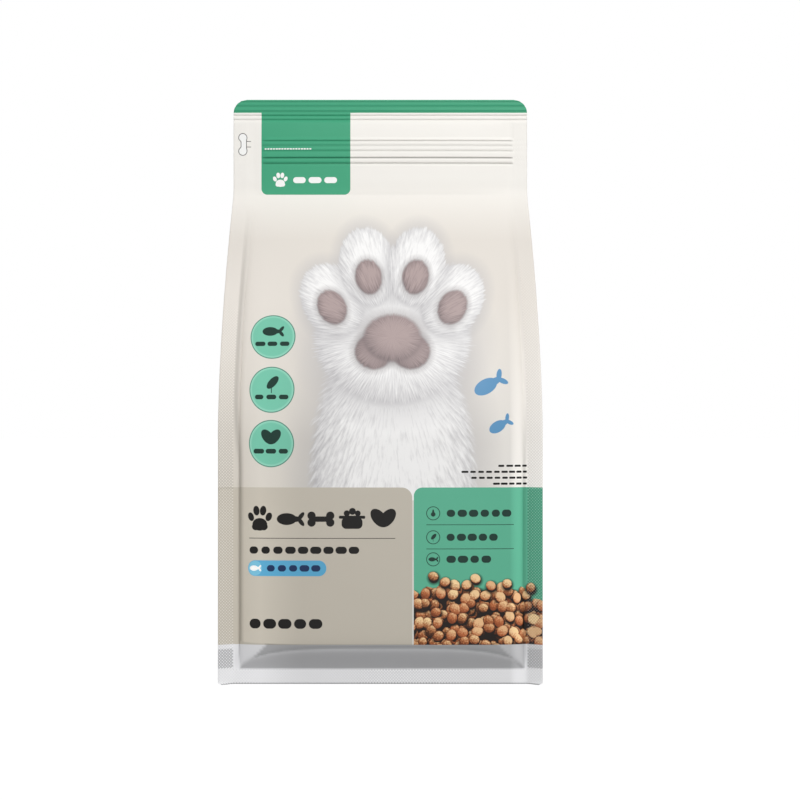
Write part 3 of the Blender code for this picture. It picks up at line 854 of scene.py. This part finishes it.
lit = number_step(tree, "ADD", lit, number_step(tree, "MULTIPLY_ADD", coming["Tone"], *TONE_LIGHT))
ramp = tree.nodes.new("ShaderNodeValToRGB")
ramp.color_ramp.elements[0].position = 0.0
ramp.color_ramp.elements[0].color = KIBBLE_DARK
ramp.color_ramp.elements[1].position = FULLY_LIT
ramp.color_ramp.elements[1].color = KIBBLE_GOLD
between_them = ramp.color_ramp.elements.new(HALF_LIT)
between_them.color = KIBBLE_BROWN
tree.links.new(lit, ramp.inputs[0])
rust = number_step(tree, "FRACT", number_step(tree, "MULTIPLY", coming["Tone"], RUST_DRAW))
crumb = laid_over(tree, number_step(tree, "MULTIPLY", rust, RUST_SHARE), ramp.outputs[0], KIBBLE_RUST)
tree.links.new(laid_over(tree, inside, under, crumb), going["Colour"])


def heap_outline(tree, place, top):
    """How far a place is right of the heap's middle and above its top, and the outline's drop there."""
    off_middle, above = along_axes(tree, place, (HEAP_MIDDLE, top, 0.0), RIGHT, UP)
    squared = number_step(tree, "MULTIPLY", off_middle, off_middle)
    return off_middle, above, number_step(tree, "MULTIPLY", squared, -HEAP_CURVE)


layer_group, coming, going = new_group(
    "kibble_layer",
    {"Place": VECTOR, "Shift": VECTOR, "Bright": NUMBER, "Under": COLOUR},
    {"Colour": COLOUR},
)
tree = layer_group
shifted = vector_step(tree, "ADD", coming["Place"], coming["Shift"])
cells = tree.nodes.new("ShaderNodeTexVoronoi")
cells.voronoi_dimensions = "2D"
cells.inputs["Scale"].default_value = 1.0 / KIBBLE_PITCH
cells.inputs["Randomness"].default_value = KIBBLE_DISORDER
tree.links.new(shifted, cells.inputs["Vector"])
centre = vector_step(tree, "SUBTRACT", cells.outputs["Position"], coming["Shift"])
off_middle, above, drop = heap_outline(tree, centre, HEAP_TOP)
here = number_step(tree, "LESS_THAN", above, drop)
chances = tree.nodes.new("ShaderNodeSeparateColor")
tree.links.new(cells.outputs["Color"], chances.inputs[0])
smallest = KIBBLE_RADIUS - KIBBLE_SPREAD / 2
radius = number_step(tree, "MULTIPLY_ADD", chances.outputs[0], KIBBLE_SPREAD, smallest)
tilt = number_step(tree, "MULTIPLY", chances.outputs[1], KIBBLE_TURN)
rightward = number_step(tree, "MULTIPLY_ADD", off_middle, *HEAP_LIGHT)
bright = number_step(tree, "MULTIPLY", coming["Bright"], rightward)
tone = number_step(tree, "MULTIPLY", chances.outputs[2], bright)
values = {"Centre": centre, "Radius": radius, "Tilt": tilt, "Tone": tone, "Here": here}
biscuit = placed(tree, biscuit_group, Place=coming["Place"], Under=coming["Under"], **values)
tree.links.new(biscuit["Colour"], going["Colour"])


# The picture on the front
# A raised white paw with grey-rose pads fills the middle of the front, behind the two lower fields. Its
# fur is fine strands that spread from the palm, and each toe is a soft lobe laid over the one behind.

PAW_MIDDLE = (0.008, 0.236)
STRANDS_PER_RADIAN = 46.0
STRAND_RATE = 95.0
STRAND_CONTRAST = 2.4
CONTACT_FADE = (-2.6, 3.6)  # the shadow round a lobe is full at its edge and gone at 1.4 of its reach
CONTACT_SHADE = 0.42
EDGE_POWER = 2.6
EDGE_SHADE = 0.62
TOP_SHADE = -0.16
STRAND_SHADE = -0.55
RIGHT_SHADE = -0.12
FUR_WHITE = ink(247, 246, 245)
FUR_GREY = ink(186, 184, 186)
LEG_GREY = ink(176, 174, 176)
PAD_ROSE = ink(178, 160, 158)
PAD_GREY = ink(112, 100, 102)
FISH_BLUE = ink(96, 150, 192)

lobe_group, coming, going = new_group(
    "furry_lobe",
    {"Place": VECTOR, "Centre": VECTOR, "Across": VECTOR, "Upward": VECTOR, "Strands": NUMBER,
     "Fluff": NUMBER, "Softness": NUMBER, "Light": COLOUR, "Dark": COLOUR, "Under": COLOUR},
    {"Colour": COLOUR},
)
tree = lobe_group
across, above = along_axes(tree, *(coming[n] for n in range(4)))
reach = length_of(tree, across, above)
tufts = number_step(tree, "MULTIPLY", coming["Strands"], coming["Fluff"])
inward = number_step(tree, "SUBTRACT", number_step(tree, "ADD", 1.0, tufts), reach)
mask = number_step(tree, "MULTIPLY_ADD", inward, coming["Softness"], 0.5, clip=True)
falling = number_step(tree, "MULTIPLY_ADD", reach, *CONTACT_FADE, clip=True)
contact = number_step(tree, "MULTIPLY", falling, CONTACT_SHADE)
under = laid_over(tree, contact, coming["Under"], coming["Dark"])
rounding = number_step(tree, "MULTIPLY", number_step(tree, "POWER", reach, EDGE_POWER), EDGE_SHADE)
rounding = number_step(tree, "MULTIPLY_ADD", above, TOP_SHADE, rounding)
streaks = number_step(tree, "MULTIPLY_ADD", coming["Strands"], STRAND_SHADE, rounding)
dark = number_step(tree, "MULTIPLY_ADD", across, RIGHT_SHADE, streaks, clip=True)
fur = laid_over(tree, dark, coming["Light"], coming["Dark"])
tree.links.new(laid_over(tree, mask, under, fur), going["Colour"])


def lobe(tree, place, strands, under, x, z, reach, tall, turn, fluff, softness, light, dark):
    """One soft form of the picture, laid over the colour under it."""
    shape = {"Centre": (x, z, 0.0), **axes(turn, reach, tall), "Fluff": fluff, "Softness": softness}
    shades = {"Strands": strands, "Light": light, "Dark": dark, "Under": under}
    return placed(tree, lobe_group, Place=place, **shape, **shades)["Colour"]


def paw_picture(tree, place, under):
    """The paw from back to front: the leg, the palm, the outer toes, the inner toes, then the pads."""
    across, above = along_axes(tree, place, (*PAW_MIDDLE, 0.0), RIGHT, UP)
    angle = number_step(tree, "MULTIPLY", number_step(tree, "ARCTAN2", across, above), STRANDS_PER_RADIAN)
    distance = number_step(tree, "MULTIPLY", length_of(tree, across, above), STRAND_RATE)
    polar = tree.nodes.new("ShaderNodeCombineXYZ")
    tree.links.new(angle, polar.inputs[0])
    tree.links.new(distance, polar.inputs[1])
    strands = noise(tree, polar.outputs[0], 1.0, detail=3.0, roughness=0.6)
    strands = number_step(tree, "MULTIPLY_ADD", strands, STRAND_CONTRAST, -STRAND_CONTRAST / 2)
    x, z = PAW_MIDDLE

    def fur(under, x, z, reach, tall, turn=0.0, dark=FUR_GREY, fluff=0.09, softness=14.0):
        return lobe(tree, place, strands, under, x, z, reach, tall, turn, fluff, softness, FUR_WHITE, dark)

    def pad(under, x, z, reach, tall, turn=0.0):
        return lobe(tree, place, strands, under, x, z, reach, tall, turn, 0.10, 7.0, PAD_ROSE, PAD_GREY)

    picture = fur(under, x, 0.135, 0.054, 0.118, dark=LEG_GREY, fluff=0.07, softness=11.0)
    picture = fur(picture, x, z, 0.052, 0.047)
    for side in (-1, 1):
        picture = fur(picture, x + side * 0.0405, z + 0.027, 0.0205, 0.0285, -side * 22)
    for side in (-1, 1):
        picture = fur(picture, x + side * 0.0165, z + 0.053, 0.0195, 0.0315, -side * 7)
    for side in (-1, 1):
        picture = pad(picture, x + side * 0.0405, z + 0.0215, 0.0095, 0.0130, -side * 22)
        picture = pad(picture, x + side * 0.0160, z + 0.0445, 0.0090, 0.0135, -side * 7)
        picture = pad(picture, x + side * 0.0125, z - 0.0105, 0.0125, 0.0120, side * 20)
    return pad(picture, x, z - 0.0005, 0.0190, 0.0165)


# The print of the front
# A green band and its tab at the head, the picture, three green discs, a stone-coloured field and a green
# one over the kibble, and signs and bars where the words would be. The tear mark is at the upper left.

STONE_FIELD = (-0.3, 0.0209, -0.2, PANEL_TOP, 0.0070)  # left, right, low, high, and the corners' radius
GREEN_FIELD = (0.0219, 0.3, -0.2, PANEL_TOP, 0.0057)
BAND = (-0.3, 0.3, BAND_FOOT, 0.5, 0.0001)
TAB = (-0.0838, -0.0211, 0.3485, 0.4300, 0.0043)
FIELD_GAP = ink(222, 219, 213)
RULE = 0.0004  # the thickness of a thin line
# The cream's grading is print grading that also holds painted light and shade: whiter on the flat head, and
# paler low down on the right.
HEAD_WHITENING = (0.31, 0.05)  # where the cream starts to whiten towards the head, and over what height
FOOT_GREYING = (0.265, 0.13)  # where it starts to grey towards the low fields, and over what height
RIGHT_LIGHTENING = 5.0  # how fast that grey lightens towards the right, per metre
SMALL_PRINT_RIGHT = 0.1008
DISC_X = -0.0720
DISCS = (0.2362, 0.1997, 0.1640)
DISC_RADIUS = 0.0155
DISC_GREEN = ink(118, 194, 168)
DISC_RIM = ink(84, 140, 122)
DISC_INNER = ink(150, 212, 190)
DISC_LAYERS = ((0.0, PRINT_EDGE, DISC_RIM), (0.0007, PRINT_EDGE, DISC_INNER), (0.0016, 0.0015, DISC_GREEN))
HEADLINE = (-0.0797, 0.0204)  # the middle of its first sign, and the pitch of the others
PILL_X, PILL_Z = -0.0829, 0.08235
PILL_BLUE = ink(92, 168, 206)
PILL_LIGHT = ink(122, 190, 216)
CLAIM_X = 0.0346
NAVY = ink(26, 46, 84)
WHITE = ink(250, 250, 248)
DEEP_GREEN = ink(24, 52, 44)
TEAR_X = -0.0970
TEAR_LOBES = (0.3889, 0.3793)
TEAR_RADIUS = 0.0029
TEAR_WAIST = 0.0019
TEAR_SHIFT = 0.0007  # how far the waist lies to the right of the lobes
TEAR_NECK = 0.0040  # half the waist's height
TEAR_BLEND = 0.0012
TEAR_LINE = 0.00022
TEAR_TICKS = (0.3862, 0.3823)
TICK_ENDS = (-0.0946, -0.0912)


def upper_cream(tree, up):
    """Cream that whitens towards the head: print grading that also holds painted light on the flat head."""
    start, reach = HEAD_WHITENING
    headward = number_step(tree, "MULTIPLY_ADD", up, 1.0 / reach, -start / reach, clip=True)
    return laid_over(tree, headward, BODY_CREAM, HEAD_CREAM)


def cream_ground(tree, place):
    """The ground of the front: cream that is whitest at the head and greyest low down on the left, paling low
    down towards the right; print grading that also holds painted light and shade.
    """
    up = vector_step(tree, "DOT_PRODUCT", place, UP)
    across = vector_step(tree, "DOT_PRODUCT", place, RIGHT)
    start, reach = FOOT_GREYING
    footward = number_step(tree, "MULTIPLY_ADD", up, -1.0 / reach, start / reach, clip=True)
    rightward = number_step(tree, "MULTIPLY_ADD", across, RIGHT_LIGHTENING, 0.5, clip=True)
    low_cream = laid_over(tree, rightward, LOW_CREAM, LOW_CREAM_RIGHT)
    return laid_over(tree, footward, upper_cream(tree, up), low_cream)


def low_fields(tree, place, colour):
    """The stone-coloured field and the green one beside it, with their rounded upper corners."""
    colour = laid_over(tree, field(tree, place, *STONE_FIELD), colour, TAUPE)
    return laid_over(tree, field(tree, place, *GREEN_FIELD), colour, PANEL_GREEN)


def under_line(tree, up, line):
    """1 below a level line across the web, and 0 above it."""
    return number_step(tree, "MULTIPLY_ADD", up, -1.0 / PRINT_EDGE, line / PRINT_EDGE + 0.5, clip=True)


def bare_foot(tree, shader, place, colour):
    """Ends the print at its foot line, below which the silver ply shows and shines."""
    bare = under_line(tree, vector_step(tree, "DOT_PRODUCT", place, UP), PRINT_FOOT)
    inked_with_painted_light(tree, shader, laid_over(tree, bare, colour, FILM_SILVER), place)
    tree.links.new(number_step(tree, "MULTIPLY", bare, SILVER_SHINE), shader.inputs["Metallic"])


def thin_rule(tree, place, left, right, z):
    """A thin level line."""
    return field(tree, place, left, right, z - RULE / 2, z + RULE / 2, RULE / 4)


def tear_mark(tree, place):
    """The tear mark, two round lobes drawn together at a waist: where it is filled, and its lines."""
    offsets = [vector_step(tree, "SUBTRACT", place, (TEAR_X, z, 0.0)) for z in TEAR_LOBES]
    upper, lower = [vector_step(tree, "LENGTH", offset) for offset in offsets]
    waist = vector_step(tree, "SUBTRACT", place, (TEAR_X + TEAR_SHIFT, sum(TEAR_LOBES) / 2, 0.0))
    waist = vector_step(tree, "SUBTRACT", vector_step(tree, "ABSOLUTE", waist), (0.0, TEAR_NECK, 0.0))
    waist = vector_step(tree, "LENGTH", vector_step(tree, "MAXIMUM", waist, (0.0, 0.0, 0.0)))
    waist = number_step(tree, "ADD", waist, TEAR_RADIUS - TEAR_WAIST)
    outward = number_step(tree, "MINIMUM", upper, lower)
    outward = number_step(tree, "SMOOTH_MIN", outward, waist, TEAR_BLEND)
    outward = number_step(tree, "SUBTRACT", outward, TEAR_RADIUS)
    filled = number_step(tree, "MULTIPLY_ADD", outward, -1.0 / PRINT_EDGE, 0.5, clip=True)
    line = number_step(tree, "SUBTRACT", TEAR_LINE, number_step(tree, "ABSOLUTE", outward))
    line = number_step(tree, "MULTIPLY_ADD", line, 1.0 / PRINT_EDGE, 0.5, clip=True)
    ticks = [thin_rule(tree, place, *TICK_ENDS, z) for z in TEAR_TICKS]
    return filled, joined(tree, [line] + ticks)


tree, shader, place = film_look(front_panel, PANEL_FLAT, "head_print")
colour = cream_ground(tree, place)
colour = laid_over(tree, field(tree, place, *BAND), colour, BAND_GREEN)
colour = laid_over(tree, field(tree, place, *TAB), colour, BAND_GREEN)
colour = laid_over(tree, sign(tree, place, paw_sign, -0.0705, 0.3588, 0.72), colour, WHITE)
colour = laid_over(tree, words(tree, place, -0.0625, -0.0295, 0.3588, 0.0042, 3), colour, WHITE)
colour = laid_over(tree, words(tree, place, -0.0818, -0.0483, 0.3807, 0.0010, 17), colour, WHITE)
filled, line = tear_mark(tree, place)
colour = laid_over(tree, filled, colour, WHITE)
inked_with_painted_light(tree, shader, laid_over(tree, line, colour, BLACK), place)

tree, shader, place = film_look(front_panel, PANEL_FLAT, "picture_print")
colour = paw_picture(tree, place, cream_ground(tree, place))
fish = [
    sign(tree, place, fish_sign, 0.0720, 0.2030, 1.5, 30),
    sign(tree, place, fish_sign, 0.0790, 0.1760, 1.1, 30),
]
colour = laid_over(tree, joined(tree, fish), colour, FISH_BLUE)
for z, shape in zip(DISCS, (fish_sign, leaf_sign, heart_sign)):
    for inset, edge, shade in DISC_LAYERS:
        radius = DISC_RADIUS - inset
        colour = laid_over(tree, oval(tree, place, DISC_X, z, radius, radius, edge=edge), colour, shade)
    mark = sign(tree, place, shape, DISC_X, z + 0.0038, 0.95)
    bars = words(tree, place, DISC_X - 0.0125, DISC_X + 0.0125, z - 0.0050, 0.0031, 3)
    colour = laid_over(tree, joined(tree, [mark, bars]), colour, DEEP_GREEN)
small_print = [
    words(tree, place, SMALL_PRINT_RIGHT - length, SMALL_PRINT_RIGHT, z, 0.0014, count)
    for length, z, count in ((0.024, 0.1494, 4), (0.048, 0.1455, 9), (0.042, 0.1416, 8), (0.027, 0.1377, 5))
]
colour = laid_over(tree, joined(tree, small_print), colour, BLACK)
inked_with_painted_light(tree, shader, low_fields(tree, place, colour), place)

tree, shader, place = film_look(front_panel, PANEL_FLAT, "stone_print")
first, pitch = HEADLINE
lettering = [
    sign(tree, place, shape, first + pitch * n, 0.1146, 1.18)
    for n, shape in enumerate((paw_sign, fish_sign, bone_sign, bowl_sign, heart_sign))
]
lettering.append(thin_rule(tree, place, -0.0873, 0.0098, 0.1020))
lettering.append(words(tree, place, -0.0881, -0.0131, 0.0942, 0.0047, 9))
lettering.append(words(tree, place, -0.0881, -0.0373, 0.0460, 0.0064, 5))
colour = laid_over(tree, joined(tree, lettering), TAUPE, BLACK)
colour = laid_over(tree, field(tree, place, -0.0881, -0.0353, 0.0772, 0.0875, 0.00514), colour, PILL_BLUE)
colour = laid_over(tree, oval(tree, place, PILL_X, PILL_Z, 0.0048, 0.0048), colour, PILL_LIGHT)
colour = laid_over(tree, sign(tree, place, fish_sign, PILL_X, PILL_Z, 0.52), colour, WHITE)
colour = laid_over(tree, words(tree, place, -0.0758, -0.0385, PILL_Z, 0.0042, 5), colour, NAVY)
bare_foot(tree, shader, place, colour)

tree, shader, place = film_look(front_panel, PANEL_FLAT, "green_print")
colour = low_fields(tree, place, FIELD_GAP)
marks = [thin_rule(tree, place, 0.0301, 0.0888, z) for z in (0.1109, 0.0951)]
claims = ((0.1184, drop_sign, 0.0873, 6), (0.1027, leaf_sign, 0.0780, 5), (0.0883, fish_sign, 0.0735, 4))
for z, shape, right, count in claims:
    marks.append(ring(tree, place, CLAIM_X, z, 0.0043, 0.0005))
    marks.append(sign(tree, place, shape, CLAIM_X, z, 0.42))
    marks.append(words(tree, place, 0.0425, right, z, 0.0047, count))
colour = laid_over(tree, joined(tree, marks), colour, DEEP_GREEN)
_, above, drop = heap_outline(tree, place, HEAP_TOP - HEAP_SINK)
inward = number_step(tree, "SUBTRACT", drop, above)
heap = number_step(tree, "MULTIPLY_ADD", inward, HEAP_SHARPNESS, 0.5, clip=True)
picture = laid_over(tree, heap, colour, HEAP_GAP)
for across, upward, bright in ((0.0031, 0.0012, 0.2), (0.0305, 0.0093, 0.65), (0.0517, 0.0178, 1.1)):
    values = {"Shift": (across, upward, 0.0), "Bright": bright, "Under": picture}
    picture = placed(tree, layer_group, Place=place, **values)["Colour"]
strays = ((0.0346, 0.0772, 0.3), (0.0423, 0.0735, 0.5), (0.0565, 0.0716, 0.8), (0.0624, 0.0757, 0.9),
          (0.0727, 0.0710, 0.7), (0.0838, 0.0722, 0.6), (0.1024, 0.0693, 0.3))
for x, z, tone in strays:
    values = {"Centre": (x, z, 0.0), "Radius": STRAY_RADIUS, "Tilt": x * STRAY_TURN, "Tone": tone, "Here": 1.0}
    picture = placed(tree, biscuit_group, Place=place, Under=picture, **values)["Colour"]
bare_foot(tree, shader, place, laid_over(tree, field(tree, place, *GREEN_FIELD), colour, picture))


# The back panel
# The same web without the closure strip, facing the other way. Its print is the plain fields alone.

points, film, pressed = panel(panel_columns[None, :].astype(float), panel_rows[:, None], False)
back_panel = lay_film("back_panel", points, film, pressed, panel_faces[:, ::-1], PANEL_FLAT)


def plain_print(web, flat_size, low_ink, has_band):
    """The plain fields: cream, with the low field's ink under its edge, bare silver at the foot."""
    tree, shader, place = film_look(web, flat_size, web.name + "_print")
    up = vector_step(tree, "DOT_PRODUCT", place, UP)
    colour = upper_cream(tree, up)
    if has_band:
        colour = laid_over(tree, under_line(tree, up, BAND_FOOT), BAND_GREEN, colour)
    colour = laid_over(tree, under_line(tree, up, PANEL_TOP), colour, low_ink)
    bare_foot(tree, shader, place, colour)


plain_print(back_panel, PANEL_FLAT, TAUPE, True)


# The side gussets
# Two narrower webs, each sealed to the front and the back panel along its edges. The food bows them out
# low down. Higher up, where front and back come together, each folds in along its middle crease.

GUSSET_CELLS = 100
GUSSET_BULGE = 0.0045
GUSSET_RISE = 0.034
FOLD_START = FULL_HEIGHT + 0.007
FOLD_BLEND = 0.064
CREASE_SOFTNESS = 0.02
GUSSET_TOP = SHOULDER - 0.001
GUSSET_FLAT = (0.124, 0.424)


def gusset(column, z, side):
    """A gusset's outer face from its front seal tip to its back one.

    Its inset is a bow outwards low down. Above, it is the fold that a film of constant width makes: the
    root of half the film's width squared less the corner depth squared, falling to 0 at the seals.
    """
    along = np.clip((column - SEAL_CELLS) / GUSSET_CELLS * 2.0 - 1.0, -1.0, 1.0)
    front_seal = np.clip(1.0 - column / SEAL_CELLS, 0.0, 1.0)
    back_seal = np.clip((column - SEAL_CELLS - GUSSET_CELLS) / SEAL_CELLS, 0.0, 1.0)
    outwards = front_seal + back_seal
    depth = seal_root_depth(z) - PLY_PAIR / 2
    root = seal_root_reach(z)
    soft = np.sqrt(along**2 + CREASE_SOFTNESS**2) - CREASE_SOFTNESS
    folded = np.sqrt(np.clip(CORNER_DEPTH**2 - depth**2, 0.0, None)) * np.clip(1.0 - soft, 0.0, 1.0)
    folded = folded * (np.abs(along) < 1.0)
    swell = np.clip((z - FOOT_SEAL) / GUSSET_RISE, 0.0, 1.0)
    bowed = -GUSSET_BULGE * np.sqrt(1.0 - (1.0 - swell) ** 2) * (1.0 - along**2)
    turned = ease((z - FOLD_START) / FOLD_BLEND)
    x = root - (bowed + (folded - bowed) * turned) + outwards * (seal_tip_reach(z) - root)
    lean = SIDE_SEAL * np.sin(SEAL_FLARE * fullness(z))
    y = along * depth + (back_seal - front_seal) * lean
    sealed = (outwards > (PLAIN_CELLS - 0.5) / SEAL_CELLS) & (z < HEIGHT - TOP_SEAL)
    pyramids = np.where(sealed, knurl(column, z / KNURL_ROW), 0.0)
    y = y + pyramids * (np.sign(back_seal - front_seal) * -1.0)
    foot = (z < FOOT_SEAL - KNURL_ROW / 2) & (outwards == 0.0)
    foot_pyramids = np.where(foot, knurl(column, z / KNURL_ROW), 0.0)
    x = x + foot_pyramids
    painted_shading = np.where(sealed | foot, knurl_shade(pyramids + foot_pyramids, z, 0.0), 0.0)
    points = np.stack(np.broadcast_arrays(side * x, y, z), -1)
    film_x = (column - SEAL_CELLS - GUSSET_CELLS / 2) * 2.0 * CORNER_DEPTH / GUSSET_CELLS
    film_z = np.interp(z, panel_rows, film_heights)
    film = np.stack(np.broadcast_arrays(film_x, film_z, painted_shading), -1)
    return points, film, (sealed | foot) & np.ones_like(x, bool)


gusset_rows = film_rows(GUSSET_TOP)
gusset_columns = np.arange(2 * SEAL_CELLS + GUSSET_CELLS + 1)
gusset_faces = film_faces(kept_columns(GUSSET_CELLS), len(gusset_rows), len(gusset_columns))
for name, side, low_ink in (("right_gusset", 1.0, PANEL_GREEN), ("left_gusset", -1.0, TAUPE)):
    points, film, pressed = gusset(gusset_columns[None, :].astype(float), gusset_rows[:, None], side)
    turned = gusset_faces if side > 0 else gusset_faces[:, ::-1]
    web = lay_film(name, points, film, pressed, turned, GUSSET_FLAT)
    plain_print(web, GUSSET_FLAT, low_ink, False)


# The base panel
# A plain web sealed inside the foot of the other four. The food presses its middle down to the floor.

BASE_STEP = 0.018
BASE_CELLS = (84, 48)
BASE_CLEARANCE = 0.0003
BASE_FLAT = (0.24, 0.14)
BASE_SPAN = 4.2  # the width of that sheet in the units of base_places
DULL_LENGTH = 0.012
DULL_SILVER = ink(206, 206, 208)


def base(across, along):
    """The base panel's lower face: down the inside of the foot seals, then eased to the floor."""
    reach = seal_root_reach(np.zeros(1)) - PLY_PAIR - BASE_CLEARANCE
    depth = seal_root_depth(np.zeros(1)) - PLY_PAIR / 2 - BASE_CLEARANCE
    x = np.clip(across, -1.0, 1.0) * reach
    y = np.clip(along, -1.0, 1.0) * depth
    inside = np.minimum(reach - np.abs(x), depth - np.abs(y))
    z = FOOT_SEAL * (1.0 - ease(inside / BASE_STEP))
    skirt = np.clip(np.maximum(np.abs(across), np.abs(along)) - 1.0, 0.0, 1.0)
    z = z * (1.0 - skirt)
    return np.stack(np.broadcast_arrays(x, y, z), -1)


def base_places(cells):
    """Places along one side of the base panel, from -2 to 2, where the skirt lies past -1 and 1."""
    inner = np.sin(np.linspace(-0.5, 0.5, cells + 1) * math.pi)
    return np.concatenate(([-2.0, -1.5], inner, [1.5, 2.0]))


base_x = base_places(BASE_CELLS[0])
base_y = base_places(BASE_CELLS[1])
points = base(base_x[None, :], base_y[:, None])
rows, columns = len(base_y), len(base_x)
across, upward = base_x * BASE_FLAT[0] / BASE_SPAN, (base_y / BASE_SPAN + 0.5) * BASE_FLAT[1]
film_x, film_z = np.meshgrid(across, upward)
film = np.stack((film_x, film_z, np.zeros((rows, columns))), -1)
corner = np.arange(rows - 1)[:, None] * columns + np.arange(columns - 1)
square = np.stack((corner, corner + columns, corner + columns + 1, corner + 1), -1).reshape(-1, 4)
triangles = np.concatenate((square[:, [0, 1, 2]], square[:, [0, 2, 3]]))
base_panel = lay_film("base_panel", points, film, np.zeros((rows, columns), bool), triangles, BASE_FLAT)
tree, shader, place = film_look(base_panel, BASE_FLAT, "base_film")
dulled = noise(tree, place, DULL_LENGTH, detail=3.0)
tree.links.new(laid_over(tree, dulled, FILM_SILVER, DULL_SILVER), shader.inputs["Base Color"])
shader.inputs["Metallic"].default_value = SILVER_SHINE


# Floor, light and camera
# A white studio. The floor and the surroundings look white, and four soft lamps light the bag's front.

FLOOR_CORNERS = ((-4, -4), (4, -4), (4, 4), (-4, 4))
FLOOR_HEIGHT = -0.0004
FLOOR_GLOW = 0.93
WORLD_LIGHT = 0.45  # how brightly the surroundings light the bag, where they look 1 bright


def seen_directly(tree):
    """1 for the rays that a viewer looks along: from the camera, off a gloss or through glass."""
    rays = tree.nodes.new("ShaderNodeLightPath")
    seen = number_step(tree, "MAXIMUM", rays.outputs["Is Camera Ray"], rays.outputs["Is Glossy Ray"])
    return number_step(tree, "MAXIMUM", seen, rays.outputs["Is Transmission Ray"])


floor_mesh = bpy.data.meshes.new("floor")
floor_mesh.from_pydata([(x, y, FLOOR_HEIGHT) for x, y in FLOOR_CORNERS], [], [(0, 1, 2, 3)])
floor = bpy.data.objects.new("floor", floor_mesh)
bpy.context.scene.collection.objects.link(floor)
floor_look = bpy.data.materials.new("floor")
floor_look.use_nodes = True
tree = floor_look.node_tree
shader = tree.nodes["Principled BSDF"]
shader.inputs["Base Color"].default_value = (0.08, 0.08, 0.08, 1.0)
shader.inputs["Roughness"].default_value = 0.9
shader.inputs["Emission Color"].default_value = (1.0, 1.0, 1.0, 1.0)
glow = number_step(tree, "MULTIPLY", seen_directly(tree), FLOOR_GLOW)
tree.links.new(glow, shader.inputs["Emission Strength"])
floor.data.materials.append(floor_look)

camera_data = bpy.data.cameras.new("camera")
camera_data.sensor_width = 36.0
camera_data.lens = 53.016
camera_data.shift_x = 0.0246
camera_data.shift_y = -0.0101
camera = bpy.data.objects.new("camera", camera_data)
camera.location = (0.0, -0.8315, 0.194)
camera.rotation_euler = (math.radians(90), 0.0, 0.0)
bpy.context.scene.collection.objects.link(camera)
bpy.context.scene.camera = camera

lamps = (
    ("key", (0.35, -1.30, 1.05), 0.6, 11.0),
    ("fill", (0.15, -1.8, 0.3), 1.0, 5.6),
    ("left", (-1.5, -0.45, 0.6), 0.6, 4.6),
    ("right", (1.4, -0.8, 0.1), 0.6, 5.0),
)
for name, place, size, energy in lamps:
    lamp_data = bpy.data.lights.new(name, "AREA")
    lamp_data.size = size
    lamp_data.energy = energy
    lamp = bpy.data.objects.new(name, lamp_data)
    lamp.location = place
    aim = np.array([0.0, 0.0, 0.2]) - np.array(place)
    turn_down = math.atan2(math.hypot(aim[0], aim[1]), -aim[2])
    lamp.rotation_euler = (turn_down, 0.0, math.atan2(aim[1], aim[0]) - math.pi / 2)
    bpy.context.scene.collection.objects.link(lamp)

world = bpy.data.worlds.new("studio")
world.use_nodes = True
tree = world.node_tree
background = tree.nodes["Background"]
background.inputs["Color"].default_value = (1.0, 1.0, 1.0, 1.0)
level = number_step(tree, "MULTIPLY_ADD", seen_directly(tree), 1.0 - WORLD_LIGHT, WORLD_LIGHT)
tree.links.new(level, background.inputs["Strength"])
bpy.context.scene.world = world
bpy.context.scene.view_settings.view_transform = "Standard"
